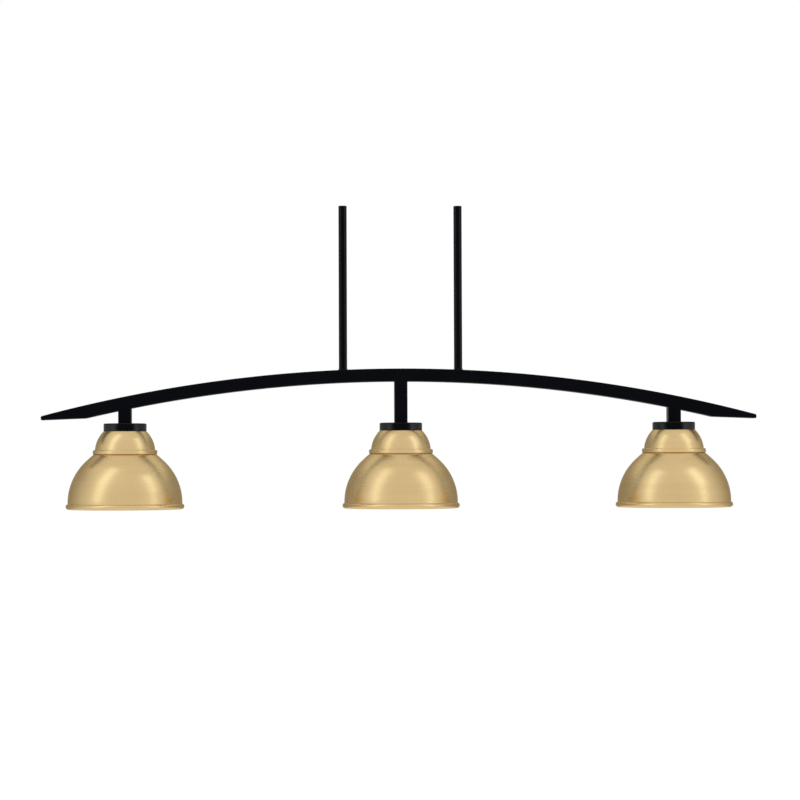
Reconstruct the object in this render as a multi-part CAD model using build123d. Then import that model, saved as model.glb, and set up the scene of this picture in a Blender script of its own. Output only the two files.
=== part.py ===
from build123d import *

import math
import os

# A linear island pendant with three lights. An arched bar of square tube hangs from two round
# stems. Three square drops under it each carry a cap, a lampholder, a spun dome shade that a
# threaded ring clamps up against the cap, and a screw-in globe bulb.
#
# Lengths are in millimetres and angles in degrees. The origin is midway between the tops of the
# two stems, +X runs along the bar, +Y points to the back and +Z points up. Inside a lamp, heights
# are measured from the plane of its cap's rim, so depths below that rim are negative heights.

os.makedirs("parts", exist_ok=True)

# ---- Layout ----
BAR_SPAN = 1041.4              # bar, tip to tip
BAR_TOP_RADIUS = 2027.0        # arc of the bar's top face
STEM_SPACING = 168.0           # stem to stem
STEM_LENGTH = 218.5
STUB_RISE = 19.0               # top of the stem stubs above the bar's highest point
LAMP_INSET = 120.7             # outer drops in from the bar's tips
OUTER_DROP_REACH = 19.55608    # bar's underside at the outer lamps down to the top of the caps

# ---- Bar ----
BAR_SIZE = 19.0                # square tube, across the outside
BAR_WALL = 1.5
BAR_CORNER = 1.4               # outer corner radius, within the wall
WIRE_HOLE = 8.0                # under the stems and over the drops
END_CUT_TILT = 2.2             # the end cuts fall this much towards the tips
NOSE_HEIGHT = 5.9              # blunt tip left above the end cut
NOSE_CORNER = 2.0
END_PLATE_THICKNESS = 1.5

# ---- Stems and their screwed joints (M10 x 1, drawn plain at the root of the thread) ----
STEM_DIAMETER = 12.0
STEM_BORE = 9.6
STEM_THREAD_DEPTH = 14.0       # threaded length at each end of a stem
THREAD_BORE = 9.0
THREAD_CLEARANCE = 0.02        # radial, nipple to threaded bore
NIPPLE_BORE = 6.6
STEM_NIPPLE_LENGTH = 24.0
STEM_EDGE = 0.3                # chamfer at the joint and at the top
WELD_WIDTH = 1.0               # weld round the foot of a stub
WELD_HEIGHT = 1.6

# ---- Drops ----
DROP_SIZE = 19.0
DROP_WALL = 1.5
DROP_CORNER = 1.4
PLUG_HEIGHT = 8.0              # threaded plug in the foot of a drop
PLUG_CLEARANCE = 0.05
PLUG_ENGAGEMENT = 7.0          # length of nipple screwed into the plug

# ---- Caps ----
CAP_DIAMETER = 62.0
CAP_HEIGHT = 11.2
CAP_TOP_THICKNESS = 1.5
CAP_WALL = 1.2
CAP_TOP_EDGE = 1.8
CAP_RIM_EDGE = 0.4
NIPPLE_HOLE_CLEARANCE = 0.7    # radial, cap's hole round the nipple
NUT_ACROSS_FLATS = 14.0
NUT_THICKNESS = 3.0
NUT_GAP = 0.2                  # lock nut to the lampholder under it

# ---- Lampholder ----
HOLDER_DIAMETER = 39.0         # over the thread that takes the shade ring
HOLDER_WALL = 2.2
HOLDER_LENGTH = 40.0           # cap's rim down to the mouth
HOLDER_SPLIT = 0.5             # joint of dome and skirt, below the cap's rim
HOLDER_RELIEF = 0.9            # radial, the skirt is slimmer below the thread
DOME_EDGE = 4.0
DOME_THICKNESS = 3.0
BUSH_DIAMETER = 15.0
BUSH_LENGTH = 8.5
INSERT_DEPTH = 3.0             # top of the insert below the cap's rim
INSERT_THICKNESS = 7.0
INSERT_CLEARANCE = 0.1
SCREW_RADIUS = 1.5
SCREW_HEAD_RADIUS = 3.0
SCREW_HEAD_HEIGHT = 1.8
SCREW_LENGTH = 4.0
SCREW_MARGIN = 1.9             # terminal screw's head in from the insert's edge
SHELL_THICKNESS = 0.6          # screw shell of the lampholder
SHELL_FLANGE_BORE = 18.0
SHELL_LENGTH = 27.0
SHELL_POCKET_CLEARANCE = 0.8   # radial, between screw shell and skirt
CONTACT_WIDTH = 5.0
CONTACT_THICKNESS = 0.5
CONTACT_FOOT = 5.5
CONTACT_REACH = 5.5            # slanting part of the leaf, along X
CONTACT_FALL = 2.7             # the leaf's lowest point under the insert

# ---- Shade and its ring ----
SEAT_GAP = 0.1                 # between the cap, the shade and its ring
SHADE_HEIGHT = 113.0
SHADE_WALL = 1.0
SHADE_HOLE_CLEARANCE = 0.9     # radial, round the lampholder
SHADE_TOP_EDGE = 0.8
SHADE_TOP_INSET = 0.24         # radial, flat top of the shade inside the cap's rim
WAIST_DEPTH = 30.9             # centre of the upper bubble and of the waist band
BAND_PROUD = 2.85              # waist band beyond the upper bubble
BAND_STEP = 1.43               # waist band beyond the start of the lower bubble
BAND_HEIGHT = 7.3
BAND_EDGE = 1.7
SHADE_DIAMETER = 165.2         # straight part under the lower bubble
SHADE_SKIRT = 9.2              # height of that straight part
RIM_BEAD_RADIUS = 4.1
RIM_BEAD_PROUD = 2.75          # rolled rim beyond the straight part
RING_WALL = 3.0                # hub round the lampholder
RING_HEIGHT = 10.0
RING_FLANGE = 2.5
RING_FLANGE_WIDTH = 4.5        # flange beyond the hub
RING_CLEARANCE = 0.05          # radial, ring on the lampholder's thread
RING_PITCH = 2.5
RING_TURNS = 4
RING_NOTCHES = 12
RING_NOTCH_RADIUS = 2.2
RING_EDGE = 0.5

# ---- Bulb ----
BULB_LENGTH = 79.0             # contact to the bottom of the globe
BULB_CONTACT_GAP = 0.3         # under the lampholder's leaf
BULB_CONTACT_DIAMETER = 9.2
BULB_CONTACT_HEIGHT = 1.2
BULB_CONTACT_EDGE = 0.6
INSULATOR_DIAMETER = 18.0
INSULATOR_CONE = 3.1
INSULATOR_PLUG = 1.8
BULB_SHELL_DIAMETER = 26.0
BULB_SHELL_THICKNESS = 0.5
BULB_SHELL_LENGTH = 23.7
BULB_SHOULDER = 2.0
BULB_THREAD_CLEARANCE = 0.05   # radial, bulb in the lampholder
BULB_PART_GAP = 0.3            # radial, insulator in the hole of the bulb's shell
GLOBE_DIAMETER = 50.0
GLOBE_WALL = 0.8
NECK_GAP = 0.2                 # radial, glass neck in the bulb's shell
NECK_ENGAGEMENT = 8.0
NECK_BLEND = 7.0
MOUNT_DISC = 1.6               # glass disc that carries the filaments
MOUNT_POST_RADIUS = 3.0
MOUNT_POST_LENGTH = 14.0
FILAMENT_COUNT = 4
FILAMENT_RADIUS = 0.9
FILAMENT_LENGTH = 26.0
FILAMENT_LEAN = 14.0

# ---- Wiring held inside ----
LEAD_DIAMETER = 4.0
LEAD_BEND = 12.0               # as large as the bar's bore leaves room for
LEAD_WALL_GAP = 1.5            # leads to the bar's inner floor and ceiling
LEAD_LANE = 4.6                # sideways place of the leads that pass another one
LEAD_RUN = 57.0                # longest straight run along the arc
LEAD_TOP_CLEARANCE = 40.0      # supply lead ends this far below the stem's top
LEAD_PORT_DEPTH = 5.0
LEAD_PORT_CLEARANCE = 0.15
LEAD_RECESS = 1.0              # lead let into the top of the insert
SPLICE_PLACE = -46.0           # centre of the splice block along the bar
SPLICE_LENGTH = 28.0
SPLICE_WIDTH = 15.0
SPLICE_CLEARANCE = 0.3         # splice block to the bar's inner floor and ceiling

# ---- Sizes that follow ----
LAMP_SPACING = BAR_SPAN / 2 - LAMP_INSET
APEX_HEIGHT = -(STEM_LENGTH + STUB_RISE)
ARC_CENTRE_HEIGHT = APEX_HEIGHT - BAR_TOP_RADIUS
BAR_UNDER_RADIUS = BAR_TOP_RADIUS - BAR_SIZE
BAR_BORE = BAR_SIZE - 2 * BAR_WALL
FLOOR_RADIUS = BAR_UNDER_RADIUS + BAR_WALL
LAMP_SAG = BAR_UNDER_RADIUS - math.sqrt(BAR_UNDER_RADIUS**2 - LAMP_SPACING**2)
CAP_TOP_HEIGHT = APEX_HEIGHT - BAR_SIZE - LAMP_SAG - OUTER_DROP_REACH
CAP_RIM_HEIGHT = CAP_TOP_HEIGHT - CAP_HEIGHT
NIPPLE_DIAMETER = THREAD_BORE - 2 * THREAD_CLEARANCE
CAP_CEILING = CAP_HEIGHT - CAP_TOP_THICKNESS
DOME_TOP = CAP_CEILING - NUT_THICKNESS - NUT_GAP
BUSH_FOOT = DOME_TOP - BUSH_LENGTH
HOLDER_BORE = HOLDER_DIAMETER - 2 * HOLDER_WALL
SCREW_OFFSET = HOLDER_BORE / 2 - INSERT_CLEARANCE - SCREW_MARGIN - SCREW_HEAD_RADIUS
INSERT_UNDERSIDE = -INSERT_DEPTH - INSERT_THICKNESS
SHELL_BORE = BULB_SHELL_DIAMETER + 2 * BULB_THREAD_CLEARANCE
SHELL_DIAMETER = SHELL_BORE + 2 * SHELL_THICKNESS
POCKET_DIAMETER = SHELL_DIAMETER + 2 * SHELL_POCKET_CLEARANCE
SHADE_TOP = -SEAT_GAP
SHADE_TOP_RADIUS = CAP_DIAMETER / 2 - SHADE_TOP_INSET
UPPER_BUBBLE_RADIUS = math.hypot(SHADE_TOP_RADIUS, WAIST_DEPTH)
BAND_RADIUS = UPPER_BUBBLE_RADIUS + BAND_PROUD
LOWER_BUBBLE_START = BAND_RADIUS - BAND_STEP
LOWER_BUBBLE_FALL = SHADE_HEIGHT - SHADE_SKIRT - WAIST_DEPTH - BAND_HEIGHT / 2
LOWER_BUBBLE_SWELL = SHADE_DIAMETER / 2 - LOWER_BUBBLE_START
LOWER_BUBBLE_RADIUS = (LOWER_BUBBLE_FALL**2 / LOWER_BUBBLE_SWELL + LOWER_BUBBLE_SWELL) / 2
RIM_RADIUS = SHADE_DIAMETER / 2 + RIM_BEAD_PROUD
RING_HUB_DIAMETER = HOLDER_DIAMETER + 2 * RING_WALL
RING_DIAMETER = RING_HUB_DIAMETER + 2 * RING_FLANGE_WIDTH
RING_TOP = SHADE_TOP - SHADE_WALL - SEAT_GAP
RING_TRAVEL = RING_PITCH * RING_TURNS
BULB_TIP = INSERT_UNDERSIDE - CONTACT_FALL - BULB_CONTACT_GAP
BULB_SHELL_TOP = BULB_TIP - BULB_CONTACT_HEIGHT - INSULATOR_CONE
BULB_SHELL_FOOT = BULB_SHELL_TOP - BULB_SHELL_LENGTH
GLOBE_CENTRE = BULB_TIP - BULB_LENGTH + GLOBE_DIAMETER / 2

SIDES = {"left": -1, "right": 1}
LAMPS = {"left": -LAMP_SPACING, "centre": 0.0, "right": LAMP_SPACING}


# ---- Building blocks ----
def rod(diameter, top, bottom):
    """A round bar on the Z axis between two heights."""
    return Pos(0, 0, (top + bottom) / 2) * Cylinder(diameter / 2, top - bottom)


def tube(diameter, bore, top, bottom):
    """A round tube on the Z axis between two heights."""
    return rod(diameter, top, bottom) - rod(bore, top, bottom)


def block(low, high):
    """A box between two corners."""
    size = [h - l for l, h in zip(low, high)]
    middle = [(l + h) / 2 for l, h in zip(low, high)]
    return Pos(*middle) * Box(*size)


def half_plane(inner, outer, top, bottom):
    """A rectangle of radii and heights, for trimming a profile."""
    return Pos((inner + outer) / 2, (top + bottom) / 2) * Rectangle(outer - inner, top - bottom)


def turned(profile):
    """A solid turned about Z from a profile of radii and heights."""
    return revolve(Plane.XZ * profile, axis=Axis.Z)


def outer_edges(shape, radius, height):
    """The round edges of a turned shape at one radius and height."""
    edges = shape.edges().filter_by(GeomType.CIRCLE)
    return edges.filter_by(
        lambda edge: abs(edge.radius - radius) < 0.01 and abs(edge.center().Z - height) < 0.01
    )


# ---- Bar ----
def bar_height(place, radius):
    """Height of an arc of the bar at a place along X."""
    return ARC_CENTRE_HEIGHT + math.sqrt(radius**2 - place**2)


def arc_band(top_radius, under_radius):
    """The ring between two of the bar's arcs, seen from the front."""
    return Pos(0, ARC_CENTRE_HEIGHT) * (Circle(top_radius) - Circle(under_radius))


def end_limits(inset):
    """The area inside the two tips and above the two end cuts, moved in by an inset."""
    half = BAR_SPAN / 2 - inset
    nose_foot = bar_height(BAR_SPAN / 2, BAR_TOP_RADIUS) - NOSE_HEIGHT + inset
    slope = math.tan(math.radians(END_CUT_TILT))
    return make_face(
        Polyline(
            (-half, nose_foot),
            (0, nose_foot + half * slope),
            (half, nose_foot),
            (half, APEX_HEIGHT + BAR_SIZE),
            (-half, APEX_HEIGHT + BAR_SIZE),
            close=True,
        )
    )


def bar_blank():
    """The bar as a solid with square edges, and the same with its edges rounded."""
    outline = arc_band(BAR_TOP_RADIUS, BAR_UNDER_RADIUS) & end_limits(0)
    square = extrude(Plane.XZ * outline, BAR_SIZE / 2, both=True)
    square = fillet(square.edges().filter_by(Axis.Y), NOSE_CORNER)
    sides = square.faces().sort_by(Axis.Y)
    rounded = fillet(sides[0].edges() + sides[-1].edges(), BAR_CORNER)
    return square, rounded


def bar_hollow():
    """The bore of the square tube, open at the end cuts, seen from the front."""
    reach = BAR_SPAN / 2 + BAR_SIZE
    inner = arc_band(BAR_TOP_RADIUS - BAR_WALL, FLOOR_RADIUS)
    lowest = bar_height(reach, FLOOR_RADIUS) - BAR_SIZE
    return inner & half_plane(-reach, reach, APEX_HEIGHT, lowest)


def arched_bar(rounded):
    """The square tube with its wire holes under the stems and over the drops."""
    bar = rounded - extrude(Plane.XZ * bar_hollow(), BAR_BORE / 2, both=True)
    for side in SIDES.values():
        place = side * STEM_SPACING / 2
        middle = bar_height(place, BAR_TOP_RADIUS) - BAR_SIZE / 2
        bar -= Pos(place, 0, 0) * rod(WIRE_HOLE, middle + BAR_SIZE, middle)
    for place in LAMPS.values():
        middle = bar_height(place, BAR_UNDER_RADIUS) + BAR_SIZE / 2
        bar -= Pos(place, 0, 0) * rod(WIRE_HOLE, middle, middle - BAR_SIZE)
    return bar


def bar_end_plates(rounded):
    """The two bent plates welded into the end cuts, flush with the tube."""
    limits = end_limits(0) - end_limits(END_PLATE_THICKNESS)
    plates = extrude(Plane.XZ * (bar_hollow() & limits), BAR_BORE / 2, both=True)
    return plates & rounded


# ---- Stems ----
def stem_stub(square):
    """A short threaded tube welded to the bar's top face, for the left stem."""
    place = -STEM_SPACING / 2
    foot = bar_height(place, BAR_TOP_RADIUS)
    top = APEX_HEIGHT + STUB_RISE
    stub = rod(STEM_DIAMETER, top, foot - BAR_SIZE / 2)
    stub = chamfer(outer_edges(stub, STEM_DIAMETER / 2, top), STEM_EDGE)
    weld = Cone(STEM_DIAMETER / 2 + WELD_WIDTH, STEM_DIAMETER / 2, WELD_HEIGHT)
    stub += Pos(0, 0, foot + WELD_HEIGHT / 2) * weld
    stub += rod(STEM_DIAMETER + 2 * WELD_WIDTH, foot, foot - BAR_SIZE / 2)
    stub -= rod(THREAD_BORE, top, foot - BAR_SIZE / 2)
    return Pos(place, 0, 0) * stub - square


def stem():
    """A stem on its own axis, with a threaded bore at each end."""
    tall = rod(STEM_DIAMETER, 0, -STEM_LENGTH)
    for height in (-STEM_LENGTH, 0):
        tall = chamfer(outer_edges(tall, STEM_DIAMETER / 2, height), STEM_EDGE)
    tall -= rod(THREAD_BORE, 0, -STEM_THREAD_DEPTH)
    tall -= rod(STEM_BORE, -STEM_THREAD_DEPTH, STEM_THREAD_DEPTH - STEM_LENGTH)
    return tall - rod(THREAD_BORE, STEM_THREAD_DEPTH - STEM_LENGTH, -STEM_LENGTH)


def stem_nipple():
    """The hollow threaded nipple that joins a stem to its stub, half in each."""
    joint = -STEM_LENGTH
    half = STEM_NIPPLE_LENGTH / 2
    return tube(NIPPLE_DIAMETER, NIPPLE_BORE, joint + half, joint - half)


# ---- Drops and caps ----
def drop_tube(place, square):
    """A square tube from the bar's underside to the top of a cap."""
    inner_edge = max(abs(place) - DROP_SIZE / 2, 0)
    top = bar_height(inner_edge, BAR_UNDER_RADIUS) + BAR_SIZE / 2
    section = RectangleRounded(DROP_SIZE, DROP_SIZE, DROP_CORNER)
    bore = DROP_SIZE - 2 * DROP_WALL
    section -= Rectangle(bore, bore)
    drop = extrude(Pos(place, 0, CAP_TOP_HEIGHT) * section, top - CAP_TOP_HEIGHT)
    return drop - square


def drop_plug():
    """The square plug in the foot of a drop, threaded for the cap's nipple."""
    half = DROP_SIZE / 2 - DROP_WALL - PLUG_CLEARANCE
    top = CAP_HEIGHT + PLUG_HEIGHT
    plug = block((-half, -half, CAP_HEIGHT), (half, half, top))
    return plug - rod(THREAD_BORE, top, CAP_HEIGHT)


def cap_nipple():
    """The hollow threaded nipple from the drop's plug down into the lampholder's bush."""
    return tube(NIPPLE_DIAMETER, NIPPLE_BORE, CAP_HEIGHT + PLUG_ENGAGEMENT, BUSH_FOOT)


def fitter_cap():
    """The low round cap over a shade: a flat top and a short wall."""
    cap = rod(CAP_DIAMETER, CAP_HEIGHT, 0) - rod(CAP_DIAMETER - 2 * CAP_WALL, CAP_CEILING, 0)
    cap -= rod(NIPPLE_DIAMETER + 2 * NIPPLE_HOLE_CLEARANCE, CAP_HEIGHT, 0)
    cap = fillet(outer_edges(cap, CAP_DIAMETER / 2, CAP_HEIGHT), CAP_TOP_EDGE)
    return fillet(outer_edges(cap, CAP_DIAMETER / 2, 0), CAP_RIM_EDGE)


def cap_lock_nut():
    """The thin hexagon nut that holds a cap up against its drop."""
    hexagon = RegularPolygon(NUT_ACROSS_FLATS / 2, 6, major_radius=False)
    nut = extrude(Pos(0, 0, CAP_CEILING - NUT_THICKNESS) * hexagon, NUT_THICKNESS)
    return nut - rod(THREAD_BORE, CAP_CEILING, 0)


# ---- Lampholder ----
def holder_dome():
    """The top of the lampholder, with the threaded bush for the nipple."""
    dome = rod(HOLDER_DIAMETER, DOME_TOP, -HOLDER_SPLIT)
    dome = fillet(outer_edges(dome, HOLDER_DIAMETER / 2, DOME_TOP), DOME_EDGE)
    chamber_edge = DOME_EDGE - HOLDER_WALL
    chamber = rod(HOLDER_BORE, DOME_TOP - DOME_THICKNESS, -HOLDER_SPLIT)
    chamber = fillet(outer_edges(chamber, HOLDER_BORE / 2, DOME_TOP - DOME_THICKNESS), chamber_edge)
    dome -= chamber
    dome += rod(BUSH_DIAMETER, DOME_TOP - DOME_THICKNESS / 2, BUSH_FOOT)
    return dome - rod(THREAD_BORE, DOME_TOP, BUSH_FOOT)


def holder_insert():
    """The insulating disc that carries the terminals above and the contacts below."""
    insert = rod(HOLDER_BORE - 2 * INSERT_CLEARANCE, -INSERT_DEPTH, INSERT_UNDERSIDE)
    insert -= rod(LEAD_DIAMETER + 2 * LEAD_PORT_CLEARANCE, -INSERT_DEPTH, -INSERT_DEPTH - LEAD_RECESS)
    for offset in (-SCREW_OFFSET, SCREW_OFFSET):
        hole = rod(2 * SCREW_RADIUS, -INSERT_DEPTH, -INSERT_DEPTH - SCREW_LENGTH)
        insert -= Pos(offset, 0, 0) * hole
    return insert


def terminal_screw():
    """A slotted terminal screw standing in the top of the insert."""
    head_top = -INSERT_DEPTH + SCREW_HEAD_HEIGHT
    screw = rod(2 * SCREW_HEAD_RADIUS, head_top, -INSERT_DEPTH)
    slot = SCREW_HEAD_HEIGHT / 2
    half = SCREW_HEAD_RADIUS
    screw -= block((-half, -slot / 2, head_top - slot), (half, slot / 2, head_top))
    return screw + rod(2 * SCREW_RADIUS, -INSERT_DEPTH, -INSERT_DEPTH - SCREW_LENGTH)


def holder_skirt():
    """The skirt: threaded outside for the ring, bored for the insert and the screw shell."""
    thread_foot = RING_TOP - RING_TRAVEL - RING_PITCH
    skirt = rod(HOLDER_DIAMETER, -HOLDER_SPLIT, thread_foot)
    slim = HOLDER_DIAMETER - 2 * HOLDER_RELIEF
    skirt += rod(slim, thread_foot, -HOLDER_LENGTH)
    skirt = fillet(outer_edges(skirt, slim / 2, -HOLDER_LENGTH), RING_EDGE)
    skirt -= rod(HOLDER_BORE, -HOLDER_SPLIT, INSERT_UNDERSIDE)
    return skirt - rod(POCKET_DIAMETER, INSERT_UNDERSIDE, -HOLDER_LENGTH)


def screw_shell():
    """The lampholder's screw shell, hung by its flange from the insert."""
    top = INSERT_UNDERSIDE
    shell = tube(SHELL_DIAMETER, SHELL_BORE, top, top - SHELL_LENGTH)
    return shell + tube(SHELL_DIAMETER, SHELL_FLANGE_BORE, top, top - SHELL_THICKNESS)


def centre_contact():
    """The springy leaf over the bulb's contact, bent down from a foot on the insert."""
    top = INSERT_UNDERSIDE
    foot = (CONTACT_REACH - CONTACT_FOOT / 2, CONTACT_REACH + CONTACT_FOOT / 2)
    low = top - CONTACT_FALL
    strip = make_face(
        Polyline(
            (foot[1], top),
            (foot[0], top),
            (foot[0] - CONTACT_REACH, low + CONTACT_THICKNESS),
            (foot[0] - CONTACT_REACH, low),
            (foot[0], top - CONTACT_THICKNESS),
            (foot[1], top - CONTACT_THICKNESS),
            close=True,
        )
    )
    return extrude(Plane.XZ * strip, CONTACT_WIDTH / 2, both=True)


# ---- Shade and its ring ----
def shade_filling(inset):
    """Half the outline of the shade, filled to its axis and moved in by an inset."""
    top = SHADE_TOP - inset
    waist = SHADE_TOP - WAIST_DEPTH
    step = waist - BAND_HEIGHT / 2
    foot = SHADE_TOP - SHADE_HEIGHT
    equator = foot + SHADE_SKIRT
    widest = SHADE_DIAMETER / 2 - inset
    upper = Pos(0, waist) * Circle(UPPER_BUBBLE_RADIUS - inset)
    upper &= half_plane(0, UPPER_BUBBLE_RADIUS, top, step)
    lower = Pos(SHADE_DIAMETER / 2 - LOWER_BUBBLE_RADIUS, equator) * Circle(LOWER_BUBBLE_RADIUS - inset)
    lower &= half_plane(0, widest, step, equator)
    core = half_plane(0, SHADE_TOP_RADIUS / 2, step, equator)
    return upper + lower + core + half_plane(0, widest, equator, foot)


def waist_band():
    """The profile of the raised band between the two bubbles."""
    height = SHADE_TOP - WAIST_DEPTH
    inner = UPPER_BUBBLE_RADIUS - SHADE_WALL / 2
    half_width = BAND_RADIUS - inner
    band = Pos(inner, height) * RectangleRounded(2 * half_width, BAND_HEIGHT, BAND_EDGE)
    return band & half_plane(inner, BAND_RADIUS, height + BAND_HEIGHT, height - BAND_HEIGHT)


def rim_bead():
    """The profile of the rolled rim, flush with the shade's inside."""
    foot = SHADE_TOP - SHADE_HEIGHT
    roll = Pos(RIM_RADIUS - RIM_BEAD_RADIUS, foot + RIM_BEAD_RADIUS) * Circle(RIM_BEAD_RADIUS)
    inner = SHADE_DIAMETER / 2 - SHADE_WALL
    return roll & half_plane(inner, RIM_RADIUS, foot + 2 * RIM_BEAD_RADIUS, foot)


def shade():
    """The spun double-bubble shade."""
    hole = HOLDER_DIAMETER / 2 + SHADE_HOLE_CLEARANCE
    foot = SHADE_TOP - SHADE_HEIGHT
    widest = SHADE_DIAMETER / 2
    wall = shade_filling(0) - shade_filling(SHADE_WALL)
    wall -= half_plane(0, hole, SHADE_TOP, SHADE_TOP - 2 * SHADE_WALL)
    wall -= half_plane(widest - SHADE_WALL, widest, foot + RIM_BEAD_RADIUS, foot)
    spun = turned(wall + waist_band() + rim_bead())
    return fillet(outer_edges(spun, SHADE_TOP_RADIUS, SHADE_TOP), SHADE_TOP_EDGE)


def shade_ring():
    """The notched ring that screws up the lampholder and clamps the shade."""
    bore = HOLDER_DIAMETER + 2 * RING_CLEARANCE
    ring = tube(RING_DIAMETER, bore, RING_TOP, RING_TOP - RING_FLANGE)
    for turn in range(RING_NOTCHES):
        notch = rod(2 * RING_NOTCH_RADIUS, RING_TOP, RING_TOP - RING_FLANGE)
        ring -= Rot(0, 0, turn * 360 / RING_NOTCHES) * Pos(RING_DIAMETER / 2, 0, 0) * notch
    hub = tube(RING_HUB_DIAMETER, bore, RING_TOP, RING_TOP - RING_HEIGHT)
    hub = chamfer(outer_edges(hub, RING_HUB_DIAMETER / 2, RING_TOP - RING_HEIGHT), RING_EDGE)
    return ring + hub


# ---- Bulb ----
def bulb_contact():
    """The contact button on top of the bulb."""
    foot = BULB_TIP - BULB_CONTACT_HEIGHT
    button = rod(BULB_CONTACT_DIAMETER, BULB_TIP, foot)
    return fillet(outer_edges(button, BULB_CONTACT_DIAMETER / 2, BULB_TIP), BULB_CONTACT_EDGE)


def bulb_insulator():
    """The insulating cone between the bulb's contact and its screw shell."""
    narrow = BULB_CONTACT_DIAMETER / 2
    cone = Cone(INSULATOR_DIAMETER / 2, narrow, INSULATOR_CONE)
    cone = Pos(0, 0, BULB_SHELL_TOP + INSULATOR_CONE / 2) * cone
    return cone + rod(INSULATOR_DIAMETER, BULB_SHELL_TOP, BULB_SHELL_TOP - INSULATOR_PLUG)


def bulb_shell_filling(inset):
    """The outside of the bulb's screw shell as a solid, moved in by an inset."""
    hole = INSULATOR_DIAMETER / 2 + BULB_PART_GAP
    radius = BULB_SHELL_DIAMETER / 2 - inset
    top = BULB_SHELL_TOP - inset
    shoulder = Pos(0, 0, top - BULB_SHOULDER / 2) * Cone(radius, hole, BULB_SHOULDER)
    return shoulder + rod(2 * radius, top - BULB_SHOULDER, BULB_SHELL_FOOT)


def bulb_shell():
    """The bulb's screw shell, open at the top for the insulator."""
    shell = bulb_shell_filling(0) - bulb_shell_filling(BULB_SHELL_THICKNESS)
    hole = INSULATOR_DIAMETER + 2 * BULB_PART_GAP
    return shell - rod(hole, BULB_SHELL_TOP, BULB_SHELL_TOP - BULB_SHOULDER)


def neck_radius():
    """Outer radius of the glass neck, inside the bulb's screw shell."""
    return BULB_SHELL_DIAMETER / 2 - BULB_SHELL_THICKNESS - NECK_GAP


def globe_filling(inset):
    """Half the outline of the glass globe and its neck, moved in by an inset."""
    neck = neck_radius() - inset
    top = BULB_SHELL_FOOT + NECK_ENGAGEMENT
    radius = GLOBE_DIAMETER / 2 - inset
    ball = Pos(0, GLOBE_CENTRE) * Circle(radius) & half_plane(
        0, radius, GLOBE_CENTRE + radius, GLOBE_CENTRE - radius
    )
    outline = ball + half_plane(0, neck, top, GLOBE_CENTRE)
    corner = outline.vertices().filter_by(
        lambda v: abs(v.X - neck) < 0.01 and v.Y < top - NECK_ENGAGEMENT / 2
    )
    return fillet(corner, NECK_BLEND + inset)


def bulb_globe():
    """The frosted glass globe with its neck, open at the top."""
    wall = globe_filling(0) - globe_filling(GLOBE_WALL)
    top = BULB_SHELL_FOOT + NECK_ENGAGEMENT
    wall -= half_plane(0, neck_radius() - GLOBE_WALL, top, top - NECK_ENGAGEMENT)
    return turned(wall)


def bulb_filaments():
    """A glass disc and post with a splayed ring of filaments, as one piece."""
    top = BULB_SHELL_FOOT + NECK_ENGAGEMENT
    disc_radius = neck_radius() - GLOBE_WALL - NECK_GAP
    post_foot = top - MOUNT_POST_LENGTH
    mount = rod(2 * disc_radius, top, top - MOUNT_DISC)
    mount += rod(2 * MOUNT_POST_RADIUS, top - MOUNT_DISC, post_foot)
    for turn in range(FILAMENT_COUNT):
        filament = rod(2 * FILAMENT_RADIUS, FILAMENT_RADIUS, -FILAMENT_LENGTH)
        leaning = Pos(MOUNT_POST_RADIUS - FILAMENT_RADIUS, 0, post_foot) * Rot(0, -FILAMENT_LEAN, 0)
        mount += Rot(0, 0, turn * 360 / FILAMENT_COUNT) * leaning * filament
    return mount


# ---- Wiring ----
def bar_point(place, sideways, height):
    """A point in the bar's bore, given its height above the inner floor."""
    radius = FLOOR_RADIUS + height
    angle = place / FLOOR_RADIUS
    return Vector(
        radius * math.sin(angle), sideways, ARC_CENTRE_HEIGHT + radius * math.cos(angle)
    )


def lead(name, points):
    """A round lead along straight runs joined by arcs as large as the runs allow."""
    radii = []
    for before, corner, after in zip(points, points[1:], points[2:]):
        run_in = corner - before
        run_out = after - corner
        half_turn = math.radians(run_in.get_angle(run_out)) / 2
        shorter = min(run_in.length, run_out.length)
        widest = 0.45 * shorter / math.tan(half_turn)
        sharp = half_turn > math.radians(30)
        radii.append(LEAD_BEND if sharp else widest)
    path = FilletPolyline(*points, radius=radii)
    section = Plane(origin=path @ 0, z_dir=path % 0) * Circle(LEAD_DIAMETER / 2)
    wire = sweep(section, path=path)
    expected = math.pi * (LEAD_DIAMETER / 2) ** 2 * path.length
    shown = ", ".join(f"{radius:.0f}" for radius in radii)
    print(f"{name}: length {path.length:.1f}, radii {shown}, volume ratio {wire.volume / expected:.4f}")
    return wire


def splice_block():
    """The block in the bar where the supply lead meets the three lamp leads."""
    height = BAR_BORE - 2 * SPLICE_CLEARANCE
    low = LEAD_WALL_GAP + LEAD_DIAMETER / 2 - BAR_BORE / 2
    ports = [(-1, 0, low), (-1, LEAD_LANE, -low), (1, 0, -low), (1, LEAD_LANE, -low)]
    body = Box(SPLICE_LENGTH, SPLICE_WIDTH, height)
    depth = LEAD_PORT_DEPTH + LEAD_PORT_CLEARANCE
    for end, sideways, rise in ports:
        port = Rot(0, 90, 0) * Cylinder(LEAD_DIAMETER / 2 + LEAD_PORT_CLEARANCE, depth)
        body -= Pos(end * (SPLICE_LENGTH - depth) / 2, sideways, rise) * port
    centre = bar_point(SPLICE_PLACE, 0, BAR_BORE / 2)
    lean = math.degrees(SPLICE_PLACE / FLOOR_RADIUS)
    return Pos(*centre) * Rot(0, lean, 0) * body


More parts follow.
